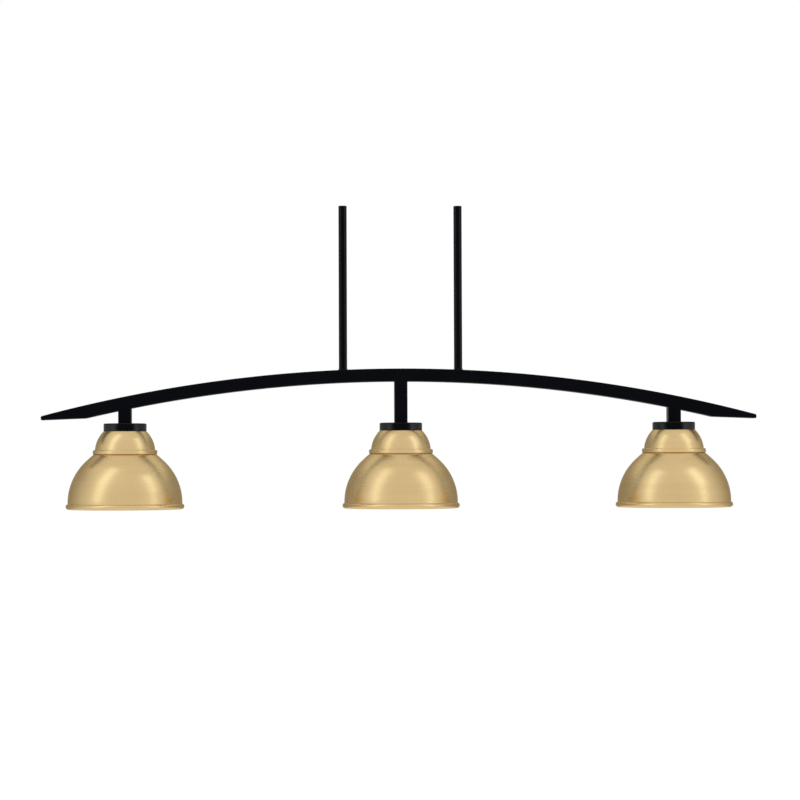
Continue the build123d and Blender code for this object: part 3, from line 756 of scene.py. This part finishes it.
# ---- Bar ----
@dataclass
class Bar:
    """The arched bar of square tube, its ends cut low to blunt noses."""

    span: float = 1041.4
    top_radius: float = 2027.0
    apex: float = -237.5
    size: float = 19.0
    wall: float = 1.5
    corner: float = 1.4
    cut_tilt: float = 2.2
    nose_height: float = 5.9
    nose_corner: float = 2.0
    wire_hole: float = 8.0
    stems: tuple[float, ...] = (-84.0, 84.0)
    drops: tuple[float, ...] = (-400.0, 0.0, 400.0)
    steps: int = 96
    nose_chords: int = 6
    edge_chords: int = 5
    sharp: float = 50.0
    near: float = 0.05

    def __post_init__(self) -> None:
        """Work out the arc's centre and the radius of the bar's underside."""
        self.centre = self.apex - self.top_radius
        self.under_radius = self.top_radius - self.size

    def height(self, place: float, radius: float) -> float:
        """Height of one of the bar's arcs at a place along it."""
        return self.centre + math.sqrt(radius**2 - place**2)

    def _sweep(
        self, name: str, half_size: float, inner: float, outer: float, start: float, turn: float, steps: int
    ) -> Piece:
        """Sweep a square section along the arc.

        Args:
            name: the piece's name.
            half_size: half the section's width from front to back.
            inner: radius of its underside.
            outer: radius of its top.
            start: angle that it starts at, to the right of the top.
            turn: angle that it sweeps back to the left.
            steps: number of chords.

        Returns:
            The swept piece, in edit mode and open at its ends.
        """
        corners = ((-half_size, inner), (half_size, inner), (half_size, outer), (-half_size, outer))
        path = [
            (radius * math.sin(start) * MM, side * MM, (self.centre + radius * math.cos(start)) * MM)
            for side, radius in corners
        ]
        piece = Bench.trace(name, path, closed=True)
        centre = (0, 0, self.centre * MM)
        bpy.ops.mesh.spin(steps=steps, angle=turn, center=centre, axis=(0, 1, 0))
        return piece

    def _round_ends(self, bar: Piece) -> None:
        """Round the edges of the nose and of the end cut that run from front to back."""
        half = self.span / 2
        top = self.height(half, self.top_radius)
        foot = top - self.nose_height
        rise = math.degrees(math.asin(half / self.top_radius))
        corners = (((half, top), 90 + rise), ((half, foot), 90 - self.cut_tilt))
        for (across, height), angle in corners:
            reach = self.nose_corner / math.tan(math.radians(angle) / 2)
            Bench.edit(bar, "EDGE", everything=False)
            bpy.ops.object.mode_set(mode="OBJECT")
            for edge in bar.data.edges:
                ends = [bar.data.vertices[index].co for index in edge.vertices]
                gaps = (math.hypot(end.x - across * MM, end.z - height * MM) for end in ends)
                edge.select = all(gap < self.near * MM for gap in gaps)
            bpy.ops.object.mode_set(mode="EDIT")
            bpy.ops.mesh.bevel(offset=reach * MM, segments=self.nose_chords, affect="EDGES")
            bpy.ops.object.mode_set(mode="OBJECT")

    def _blank(self) -> Piece:
        """Model the right half of the bar outside and mirror it.

        Returns:
            The closed bar with its edges rounded.
        """
        half = self.span / 2
        reach = math.asin((half + self.size) / self.under_radius)
        bar = self._sweep("bar_tube", self.size / 2, self.under_radius, self.top_radius, reach, reach, self.steps)
        Bench.close()
        foot = self.height(half, self.top_radius) - self.nose_height
        slope = math.tan(math.radians(self.cut_tilt))
        Bench.cut(bar, (half * MM, 0, 0), (1, 0, 0))
        Bench.cut(bar, (half * MM, 0, foot * MM), (-slope, 0, -1))
        self._round_ends(bar)
        Bench.edit(bar, "EDGE", everything=False)
        bpy.ops.mesh.edges_select_sharp(sharpness=math.radians(self.sharp))
        bpy.ops.mesh.bevel(offset=self.corner * MM, segments=self.edge_chords, affect="EDGES")
        Bench.modify(bar, "MIRROR", {"use_clip": True, "merge_threshold": 1e-5})
        Bench.edit(bar)
        Bench.close()
        return bar

    def _bore(self) -> Piece:
        """The bore of the tube as a cutter, longer than the bar."""
        reach = math.asin((self.span / 2 + self.size) / self.under_radius)
        inner, outer = self.under_radius + self.wall, self.top_radius - self.wall
        bore = self._sweep("bore", self.size / 2 - self.wall, inner, outer, reach, 2 * reach, 2 * self.steps)
        bpy.ops.mesh.select_all(action="SELECT")
        bpy.ops.mesh.fill_holes(sides=0)
        Bench.close()
        return bore

    def _holes(self) -> Piece:
        """The wire holes under the stems and over the drops as one cutter."""
        half = self.size / 2
        upper = [(place, self.height(place, self.top_radius) - half) for place in self.stems]
        lower = [(place, self.height(place, self.under_radius) - half) for place in self.drops]
        made = []
        for place, low in upper + lower:
            drill = Bench.rod("drill", self.wire_hole / 2, low, low + self.size, 40)
            made.append(Bench.move(drill, (place * MM, 0, 0)))
        Bench.only(made[0])
        for drill in made[1:]:
            drill.select_set(True)
        bpy.ops.object.join()
        return made[0]

    def build(self) -> None:
        """Model the bar, dress it and put it on the frame."""
        bar = self._blank()
        Bench.carve(bar, self._bore())
        Bench.carve(bar, self._holes())
        fit(Bench.smooth(bar), Slot.BLACK_METAL, "frame", "arched_bar")


# ---- Stems and drops ----
@dataclass
class Stems:
    """The two round stems and the short stubs that are welded to the bar for them.

    Each step of the weld says how far out of the stub and over the bar it lies, and its rounding.
    """

    bar: Bar
    length: float = 218.5
    radius: float = 6.0
    bore: float = 4.8
    thread_root: float = 4.5
    thread_depth: float = 14.0
    thread_height: float = 0.45
    pitch: float = 1.0
    edge: float = 0.3
    thread_mouth: float = 0.4
    rounding: Point = (0.12, 0.1)
    weld: tuple[Place, ...] = ((1.0, 0.25, 0.2), (0.55, 0.992, 0.5), (0.0, 1.7, 0.3))
    sunk: float = 0.9
    paint: PowderCoat = PowderCoat("black_stem", gloss=0.32)

    def _stem(self) -> Piece:
        """Turn a stem with a threaded bore at each end.

        Returns:
            The stem about the origin, its top at height 0.
        """
        turns = int(self.thread_depth / self.pitch) - 1
        valley = self.thread_root + self.thread_height
        inner, foot = self.thread_depth - self.length, -self.length
        side, face = self.rounding
        outline = Outline()
        outline.to(self.radius, foot + self.edge, side).to(self.radius, -self.edge, side)
        outline.to(self.radius - self.edge, 0, face).to(self.thread_root + self.thread_mouth, 0)
        outline.ridges(self.thread_root, valley, -self.thread_mouth, self.pitch, turns)
        outline.to(self.bore, -self.thread_depth).to(self.bore, inner)
        outline.to(self.thread_root, inner + self.edge).to(self.thread_root, foot)
        outline.to(self.radius - self.edge, foot, face)
        return Bench.turn("stem", outline, 64, segments=3)

    def _stub(self, foot: float) -> Piece:
        """Turn a stub with its weld.

        Args:
            foot: height of the bar's top face under it.

        Returns:
            The stub about the Z axis.
        """
        top = -self.length
        side, face = self.rounding
        outline = Outline()
        outline.to(self.thread_root, foot - self.sunk).to(self.radius + self.weld[0][0], foot - self.sunk)
        for out, up, rounding in self.weld:
            outline.to(self.radius + out, foot + up, rounding)
        outline.to(self.radius, top - self.edge, side).to(self.radius - self.edge, top, face)
        outline.to(self.thread_root, top)
        return Bench.turn("stub", outline, 64, segments=4)

    def build(self) -> None:
        """Model both stems and stubs, dress them and put them on the frame."""
        stem = self._stem()
        stub = self._stub(self.bar.height(self.bar.stems[0], self.bar.top_radius))
        for side, place in zip(("left", "right"), self.bar.stems):
            for pattern, node in ((stem, f"stem_{side}"), (stub, f"stem_stub_{side}")):
                piece = Bench.copy(pattern, f"{node}_turned", (place * MM, 0, 0))
                fit(Bench.smooth(piece), Slot.BLACK_METAL, "frame", node)
                self.paint.dress(piece)  # the stems' own paint, whose gloss alone is lower, replaces the black_metal finish
        for pattern in (stem, stub):
            bpy.data.objects.remove(pattern, do_unlink=True)


@dataclass
class Drops:
    """The square tubes between the bar's underside and the caps."""

    bar: Bar
    foot: float = -316.3
    size: float = 19.0
    wall: float = 1.5
    corner: float = 1.4
    bore_corner: float = 0.4
    sunk: float = 0.6

    def _section(self, size: float, place: float, corner: float) -> Outline:
        """The square section of a drop at its place along the bar."""
        half = size / 2
        signs = ((-1, -1), (1, -1), (1, 1), (-1, 1))
        return Outline([(place + x * half, y * half, corner) for x, y in signs])

    def build(self) -> None:
        """Model the drops, dress them and put them on the frame."""
        for side, place in zip(SIDES, self.bar.drops):
            lean = math.asin(place / self.bar.under_radius)
            reach = self.bar.under_radius + self.sunk
            top = (reach * math.sin(lean) * MM, 0, (self.bar.centre + reach * math.cos(lean)) * MM)
            high = self.bar.height(place, self.bar.under_radius) + self.size
            outside = self._section(self.size, place, self.corner)
            drop = Bench.prism(f"drop_tube_{side}_square", outside, self.foot, high)
            Bench.cut(drop, top, (math.sin(lean), 0, math.cos(lean)))
            inside = self._section(self.size - 2 * self.wall, place, self.bore_corner)
            Bench.carve(drop, Bench.prism("drop_bore", inside, self.foot - self.size, high + self.size))
            fit(Bench.smooth(drop), Slot.BLACK_METAL, "frame", f"drop_tube_{side}")


# ---- Lamps ----
def _rise(height: float, radius: float) -> float:
    """The angle, in degrees, of a circle's point at a height over its centre."""
    return math.degrees(math.asin(height / radius))


def _lean(across: float, radius: float) -> float:
    """The angle, in degrees, of a circle's point at a distance across from its centre."""
    return math.degrees(math.acos(across / radius))


@dataclass
class Lamp:
    """What is turned for one lamp: cap, lampholder skirt, shade, clamp ring, bulb shell and globe.

    The skirt's thread spans two depths under the ring's top, and its lip's heights are over its mouth.
    """

    cap_radius: float = 31.0
    cap_height: float = 11.2
    cap_top: float = 1.5
    cap_wall: float = 1.2
    cap_hole: float = 5.18
    cap_rounding: float = 1.8
    holder_radius: float = 19.5
    holder_slim: float = 18.6
    holder_split: float = -0.5
    holder_mouth: float = -40.0
    holder_thread_span: Point = (0.15, 13.1)
    holder_thread_depth: float = 0.5
    holder_lip: float = 0.35
    holder_lip_heights: Point = (2.6, 3.2)
    pocket_radius: float = 14.45
    insert_floor: float = -10.0
    insert_radius: float = 17.3
    ring_pitch: float = 2.5
    ring_top: float = -1.2
    ring_bore: float = 19.55
    ring_hub: float = 22.5
    ring_radius: float = 27.0
    ring_flange: float = 2.5
    ring_height: float = 10.0
    ring_notches: int = 12
    ring_notch_radius: float = 2.2
    shade_top: float = -0.1
    shade_hole: float = 20.4
    shade_wall: float = 1.0
    shade_top_radius: float = 30.76
    waist_depth: float = 30.9
    upper_radius: float = 43.6
    band_radius: float = 46.45
    band_height: float = 6.4
    band_rise: float = 0.4
    band_edge: float = 1.5
    band_step: float = 0.75
    shoulder_radius: float = 197.0
    shoulder_angle: float = 45.5
    fold_depth: float = 3.65
    shade_height: float = 113.0
    shade_skirt: float = 9.2
    shade_radius: float = 82.6
    lower_radius: float = 82.5947
    bead_radius: float = 4.1
    bead_proud: float = 2.75
    bulb_shell_top: float = -17.3
    bulb_shell_foot: float = -41.0
    bulb_shell_radius: float = 13.0
    bulb_shell_hole: float = 9.3
    bulb_pitch: float = 3.63
    bulb_thread_depth: float = 0.45
    bulb_shell_wall: float = 0.4
    thread_turns: int = 5
    globe_centre: float = -67.0
    globe_radius: float = 25.0
    globe_wall: float = 0.8
    neck_radius: float = 12.3
    neck_top: float = -33.0
    neck_blend: float = 7.0

    def __post_init__(self) -> None:
        """Work out the heights of the shade's waist and rim, and where its lower bubble is widest."""
        self.waist = self.shade_top - self.waist_depth
        self.rim = self.shade_top - self.shade_height
        self.equator = self.rim + self.shade_skirt
        self.lower_centre = (self.shade_radius - self.lower_radius, self.equator)

    def cap(self) -> Piece:
        """Turn the low round cap, hollow under its flat top."""
        inner, ceiling = self.cap_radius - self.cap_wall, self.cap_height - self.cap_top
        outline = Outline()
        outline.to(self.cap_radius, 0, 0.4).to(self.cap_radius, self.cap_height, self.cap_rounding)
        outline.to(self.cap_hole, self.cap_height, 0.2).to(self.cap_hole, ceiling)
        outline.to(inner, ceiling, 0.8).to(inner, 0, 0.3)
        return Bench.turn("cap", outline, 128, segments=8)

    def skirt(self) -> Piece:
        """Turn the lampholder's skirt with the thread that takes the clamp ring."""
        mouth, lip = self.holder_mouth, self.holder_slim + self.holder_lip
        low, high = self.holder_lip_heights
        start, end = self.holder_thread_span
        valley = self.holder_radius - self.holder_thread_depth
        outline = Outline()
        outline.to(self.insert_radius, self.holder_split).to(self.holder_radius, self.holder_split, 0.3)
        outline.to(self.holder_radius, self.ring_top)
        outline.ridges(self.holder_radius, valley, self.ring_top - start, self.ring_pitch, self.thread_turns)
        outline.to(self.holder_slim, self.ring_top - end, 0.4)
        outline.to(self.holder_slim, mouth + high, 0.3).to(lip, mouth + low, 0.3)
        outline.to(lip, mouth, 0.7).to(self.pocket_radius, mouth, 0.6)
        outline.to(self.pocket_radius, self.insert_floor).to(self.insert_radius, self.insert_floor)
        return Bench.turn("skirt", outline, 96, segments=5)

    def _outside(self, outline: Outline) -> None:
        """Draw the shade's outside down to its rim: upper bubble, waist band, shoulder and lower bubble.

        Args:
            outline: the shade's outline, which takes the points.
        """
        edge = self.band_radius - self.band_edge
        band = self.waist + self.band_rise
        half = self.band_height / 2 - self.band_edge
        swing = _lean(self.band_edge - self.band_step, self.band_edge)
        crease = band - half - self.band_edge * math.sin(math.radians(swing))
        slope = math.radians(self.shoulder_angle)
        shift = self.lower_radius - self.shoulder_radius
        shoulder = (self.lower_centre[0] + shift * math.cos(slope), self.equator + shift * math.sin(slope))
        start = _rise(crease - shoulder[1], self.shoulder_radius)
        top = _lean(self.shade_top_radius, self.upper_radius)
        foot = _rise(self.band_rise + self.band_height / 2, self.upper_radius)

        outline.arc((0, self.waist), self.upper_radius, top - 1, foot, 36)
        outline.arc((edge, band + half), self.band_edge, 90, 0, 8)
        outline.arc((edge, band - half), self.band_edge, 0, -swing, 8)
        outline.arc(shoulder, self.shoulder_radius, start, self.shoulder_angle, 14)
        outline.arc(self.lower_centre, self.lower_radius, self.shoulder_angle - 1, 0, 52)

    def _inside(self, outline: Outline) -> None:
        """Draw the shade's inside up from its rim: lower bubble, fold and upper bubble.

        Args:
            outline: the shade's outline, which takes the points.
        """
        upper = self.upper_radius - self.shade_wall
        lower = self.lower_radius - self.shade_wall
        step = _rise(self.waist - self.fold_depth - self.equator, lower)
        fold = _rise(self.fold_depth, upper)
        top = _rise(self.waist_depth - self.shade_wall, upper)

        outline.arc(self.lower_centre, lower, 0, step, 48)
        outline.arc((0, self.waist), upper, -fold, top, 36)

    def shade(self) -> Piece:
        """Turn the spun shade with its straight skirt and its rolled rim.

        Returns:
            The shade, open at its top and its rim.
        """
        bead = (self.shade_radius + self.bead_proud - self.bead_radius, self.rim + self.bead_radius)
        start = _lean(self.shade_radius - bead[0], self.bead_radius)
        end = -_lean(self.shade_radius - self.shade_wall - bead[0], self.bead_radius)
        outline = Outline()
        outline.to(self.shade_hole, self.shade_top, 0.15).to(self.shade_top_radius, self.shade_top, 0.8)
        self._outside(outline)
        outline.arc(bead, self.bead_radius, start, end, 26)
        self._inside(outline)
        outline.to(self.shade_hole, self.shade_top - self.shade_wall, 0.15)
        return Bench.turn("shade", outline, 144, segments=5)

    def ring(self) -> Piece:
        """Turn the clamp ring and file its notches.

        Returns:
            The ring with its notched flange and its hub.
        """
        foot = self.ring_top - self.ring_height
        under = self.ring_top - self.ring_flange
        outline = Outline()
        outline.to(self.ring_bore, self.ring_top, 0.2).to(self.ring_radius, self.ring_top, 0.4)
        outline.to(self.ring_radius, under, 0.4).to(self.ring_hub, under, 0.8)
        outline.to(self.ring_hub, foot, 0.6).to(self.ring_bore, foot, 0.4)
        ring = Bench.turn("ring", outline, 120, segments=5)
        file = Bench.rod("notch", self.ring_notch_radius, under - 1, self.ring_top + 1, 32)
        Bench.move(file, (self.ring_radius * MM, 0, 0))
        others = self.ring_notches - 1
        turn = 2 * math.pi / self.ring_notches * others
        Bench.edit(file)
        bpy.ops.mesh.spin(steps=others, angle=turn, center=(0, 0, 0), axis=(0, 0, 1), dupli=True)
        bpy.ops.object.mode_set(mode="OBJECT")
        Bench.carve(ring, file)
        return ring

    def bulb_shell(self) -> Piece:
        """Turn the bulb's screw shell with its rolled thread."""
        top, foot = self.bulb_shell_top, self.bulb_shell_foot
        valley = self.bulb_shell_radius - self.bulb_thread_depth
        outer = valley + 0.25
        inner = outer - self.bulb_shell_wall
        outline = Outline()
        outline.to(self.bulb_shell_hole, top, 0.2).to(valley - 0.2, top - 1.8, 0.6)
        outline.ridges(self.bulb_shell_radius, valley, top - 2.2, self.bulb_pitch, self.thread_turns, 10)
        outline.to(outer, foot + 2.0, 0.4).to(outer, foot, 0.2)
        outline.to(inner, foot, 0.1).to(inner, top - 2.4, 0.3)
        outline.to(self.bulb_shell_hole, top - 0.5, 0.1)
        return Bench.turn("bulb_shell", outline, 96, segments=4)

    def globe(self) -> Piece:
        """Turn the glass globe and its neck.

        Returns:
            The glass, closed at its pole and open at the top of its neck.
        """
        centre = (0.0, self.globe_centre)
        reach = self.globe_radius + self.neck_blend
        beside = self.neck_radius + self.neck_blend
        rise = math.sqrt(reach**2 - beside**2)
        blend = (beside, self.globe_centre + rise)
        meet = math.degrees(math.atan2(rise, beside))
        wall = self.globe_wall
        outline = Outline()
        outline.arc(centre, self.globe_radius - wall, -90, meet, 60)
        outline.arc(blend, self.neck_blend + wall, 180 + meet, 180, 14)
        outline.to(self.neck_radius - wall, self.neck_top, 0.3).to(self.neck_radius, self.neck_top, 0.3)
        outline.arc(blend, self.neck_blend, 180, 180 + meet, 14)
        outline.arc(centre, self.globe_radius, meet, -90, 60)
        return Bench.turn("globe", outline, 96, closed=False, segments=4)


class LampPart(Enum):
    """The turned pieces of a lamp: how it is made, CAD node, finish, and the body that it rides on."""

    CAP = (Lamp.cap, "fitter_cap", Slot.BLACK_METAL, "frame")
    SKIRT = (Lamp.skirt, "holder_skirt", Slot.BLACK_PHENOLIC, "frame")
    SHADE = (Lamp.shade, "shade", Slot.SATIN_BRASS, "hung_shade")
    RING = (Lamp.ring, "shade_ring", Slot.BLACK_PHENOLIC, "clamp_ring")
    BULB_SHELL = (Lamp.bulb_shell, "bulb_shell", Slot.BULB_SHELL_METAL, "screwed_bulb")
    GLOBE = (Lamp.globe, "bulb_globe", Slot.FROSTED_GLASS, "screwed_bulb")


@dataclass
class Lamps:
    """The three alike lamps, each turned piece modelled once and copied under its drop."""

    lamp: Lamp
    rim_height: float = -327.5

    def build(self) -> None:
        """Model each kind of piece once, copy it to every lamp and put the copies on the frame."""
        for part in LampPart:
            make, node, slot, body = part.value
            pattern = make(self.lamp)
            for side in SIDES:
                low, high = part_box(f"fitter_cap_{side}")
                place = ((low.x + high.x) / 2, 0, self.rim_height * MM)
                piece = Bench.copy(pattern, f"{node}_{side}_turned", place)
                rides = body if body == "frame" else f"{body}_{side}"
                fit(Bench.smooth(piece), slot, rides, f"{node}_{side}")
            bpy.data.objects.remove(pattern, do_unlink=True)


# ---- Small parts from the CAD ----
@dataclass(frozen=True)
class SmallParts:
    """The CAD nodes whose shapes are right already and only take their finishes."""

    in_each_lamp: tuple[tuple[str, Slot], ...] = (
        ("holder_dome", Slot.BLACK_PHENOLIC),
        ("holder_insert", Slot.WHITE_CERAMIC),
        ("screw_shell", Slot.NICKEL_SHELL),
        ("centre_contact", Slot.SPRING_BRONZE),
        ("bulb_contact", Slot.TINNED_CONTACT),
        ("bulb_insulator", Slot.BLACK_GLAZE),
        ("bulb_filaments", Slot.FILAMENT_GLASS),
        ("lamp_lead", Slot.LEAD_SHEATH),
    )
    shared: tuple[tuple[str, Slot], ...] = (
        ("bar_end_plates", Slot.BLACK_METAL),
        ("stem_nipples", Slot.ZINC_STEEL),
        ("drop_plugs", Slot.ZINC_STEEL),
        ("cap_nipples", Slot.ZINC_STEEL),
        ("cap_lock_nuts", Slot.ZINC_STEEL),
        ("terminal_screws", Slot.ZINC_STEEL),
        ("supply_lead", Slot.LEAD_SHEATH),
        ("splice_block", Slot.SPLICE_PLASTIC),
    )

    def dress(self) -> None:
        """Give every kept CAD node its finish."""
        chosen = list(self.shared)
        for node, slot in self.in_each_lamp:
            chosen += [(f"{node}_{side}", slot) for side in SIDES]
        for node, slot in chosen:
            slot.value.dress(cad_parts[node])
        log.info("%d CAD nodes dressed", len(chosen))


# ---- Studio ----
@dataclass(frozen=True)
class Softbox:
    """A soft rectangular lamp that faces the pendant's middle.

    Its azimuth is in degrees round from the front to the right, its height over the pendant's middle
    and its reach from it are in metres, and a glow of 1 makes its face white.
    """

    name: str
    azimuth: float
    height: float
    size: Point
    glow: float = 0.95
    reach: float = 2.3
    colour: Colour = (0.80, 0.90, 1.0)


@dataclass
class Studio:
    """A plain pale floor, soft lamps, a cloth round the pendant's back and a camera in front of it.

    The cloth is white at its front edges, turns grey between two depths and pales again between two
    heights.
    """

    distance: float = 3.4
    middle: float = -0.2832
    sideways: float = -0.0011
    azimuth: float = -2.59
    elevation: float = -1.43
    roll: float = 0.21
    view_width: float = 1.1657
    sensor: float = 36.0
    floor_height: float = -1.35
    floor_size: float = 30.0
    floor_colour: Colour = (0.86, 0.86, 0.86)
    floor_cells: int = 8
    floor_clouds: float = 3.0
    floor_patch: float = 0.97
    floor_glow: float = 0.55
    world_light: float = 0.55
    softboxes: tuple[Softbox, ...] = (
        Softbox("left_softbox", -57, 1.35, (0.80, 3.5)),
        Softbox("right_softbox", 61, 1.00, (0.80, 3.0)),
    )
    cloth_radius: float = 2.4
    cloth_sides: int = 96
    cloth_gap: float = 0.02
    cloth_top: float = 2.2
    cloth_front: float = -1.0
    cloth_grey: float = 0.43
    cloth_depths: Point = (-1.0, 1.68)
    cloth_heights: Point = (0.8, 2.156)

    def camera(self) -> None:
        """Stand the camera where the photograph was taken from, rolled as it was."""
        data = bpy.data.cameras.new("camera")
        data.sensor_width = self.sensor
        data.lens = self.sensor * self.distance / self.view_width
        camera = bpy.data.objects.new("camera", data)
        aim = Matrix.Translation((0, 0, self.middle))
        round_about = Matrix.Rotation(math.radians(self.azimuth), 4, "Z")
        upright = Matrix.Rotation(math.radians(90 - self.elevation), 4, "X")
        back = Matrix.Translation((self.sideways, 0, self.distance))
        tip = Matrix.Rotation(math.radians(-self.roll), 4, "Z")
        camera.matrix_world = aim @ round_about @ upright @ back @ tip
        bpy.context.collection.objects.link(camera)
        bpy.context.scene.camera = camera

    def floor(self) -> None:
        """Lay the floor, white to the camera and clear from below."""
        bpy.ops.object.select_all(action="DESELECT")
        bpy.ops.mesh.primitive_grid_add(
            x_subdivisions=self.floor_cells,
            y_subdivisions=self.floor_cells,
            size=self.floor_size,
            location=(0, 0, self.floor_height),
        )
        floor = bpy.context.object
        floor.name = "floor"
        paint, recipe = Recipe.material("floor_paint")
        strength = self.floor_glow * recipe.backdrop()
        under = recipe.node("ShaderNodeNewGeometry", output="Backfacing")
        cloud = recipe.noise(recipe.place(), self.floor_clouds, 4.0)
        greyer = tuple(self.floor_patch * value for value in self.floor_colour)
        pale = recipe.tint(cloud, self.floor_colour, greyer)
        matt = recipe.node("ShaderNodeBsdfDiffuse", inputs={"Color": pale})
        shine = recipe.node("ShaderNodeEmission", inputs={"Color": WHITE, "Strength": strength})
        lit = recipe.node("ShaderNodeAddShader", inputs={0: matt, 1: shine})
        clear = recipe.node("ShaderNodeBsdfTransparent")
        mixed = recipe.node("ShaderNodeMixShader", inputs={0: under, 1: lit, 2: clear})
        recipe.node("ShaderNodeOutputMaterial", inputs={"Surface": mixed})
        floor.data.materials.append(paint)

    def world(self) -> None:
        """Surround the pendant with a plain soft white."""
        world = bpy.data.worlds.new("studio")
        bpy.context.scene.world = world
        world.use_nodes = True
        recipe = Recipe(world.node_tree)
        strength = self.world_light + (1 - self.world_light) * recipe.backdrop()
        shell = recipe.node("ShaderNodeBackground", inputs={"Color": WHITE, "Strength": strength})
        recipe.node("ShaderNodeOutputWorld", inputs={"Surface": shell})

    def lamp(self, box: Softbox) -> None:
        """Stand a softbox round the pendant.

        Args:
            box: the softbox.
        """
        data = bpy.data.lights.new(box.name, "AREA")
        data.shape = "RECTANGLE"
        data.size, data.size_y = box.size
        data.energy = box.glow * math.pi * box.size[0] * box.size[1]
        data.color = box.colour
        angle = math.radians(box.azimuth)
        place = Vector((box.reach * math.sin(angle), -box.reach * math.cos(angle), box.height))
        turn = (-place).to_track_quat("-Z", "Y").to_matrix().to_4x4()
        lamp = bpy.data.objects.new(box.name, data)
        lamp.matrix_world = Matrix.Translation(place + Vector((0, 0, self.middle))) @ turn
        lamp.visible_camera = False
        bpy.context.collection.objects.link(lamp)

    def cloth(self) -> None:
        """Hang a curved grey cloth round the back, which only the gloss of the pendant shows."""
        bottom = self.floor_height - self.middle + self.cloth_gap
        bpy.ops.object.select_all(action="DESELECT")
        height = self.cloth_top - bottom
        bpy.ops.mesh.primitive_cylinder_add(
            vertices=self.cloth_sides, radius=self.cloth_radius, depth=height, end_fill_type="NOTHING"
        )
        cloth = bpy.context.object
        cloth.name = "grey_cloth"
        Bench.edit(cloth)
        bpy.ops.transform.translate(value=(0, 0, (self.cloth_top + bottom) / 2))
        bpy.ops.mesh.bisect(plane_co=(0, self.cloth_front, 0), plane_no=(0, -1, 0), clear_outer=True)
        Bench.close()
        cloth.location = (0, 0, self.middle)
        weave, recipe = Recipe.material("grey_cloth_weave")
        _, y, z = recipe.axes(recipe.place())
        share = y.between(*self.cloth_depths) * (1 - z.between(*self.cloth_heights))
        glow = 1 - (1 - self.cloth_grey) * share
        grey = recipe.node("ShaderNodeEmission", inputs={"Color": WHITE, "Strength": glow})
        recipe.node("ShaderNodeOutputMaterial", inputs={"Surface": grey})
        cloth.data.materials.append(weave)
        cloth.visible_camera = cloth.visible_diffuse = cloth.visible_shadow = False
        cloth.visible_transmission = False

    def build(self) -> None:
        """Set up the camera, the floor, the world, the lamps and the cloth."""
        self.camera()
        self.floor()
        self.world()
        for box in self.softboxes:
            self.lamp(box)
        self.cloth()
        bpy.context.scene.view_settings.view_transform = "Standard"
        log.info("studio set up")


def main() -> None:
    """Build the pendant's looks piece by piece, then the studio."""
    logging.basicConfig(level=logging.INFO, format="%(name)s: %(message)s")
    bar = Bar()
    bar.build()
    Stems(bar).build()
    Drops(bar).build()
    Lamps(Lamp()).build()
    SmallParts().dress()
    Studio().build()


if __name__ == "__main__":
    main()
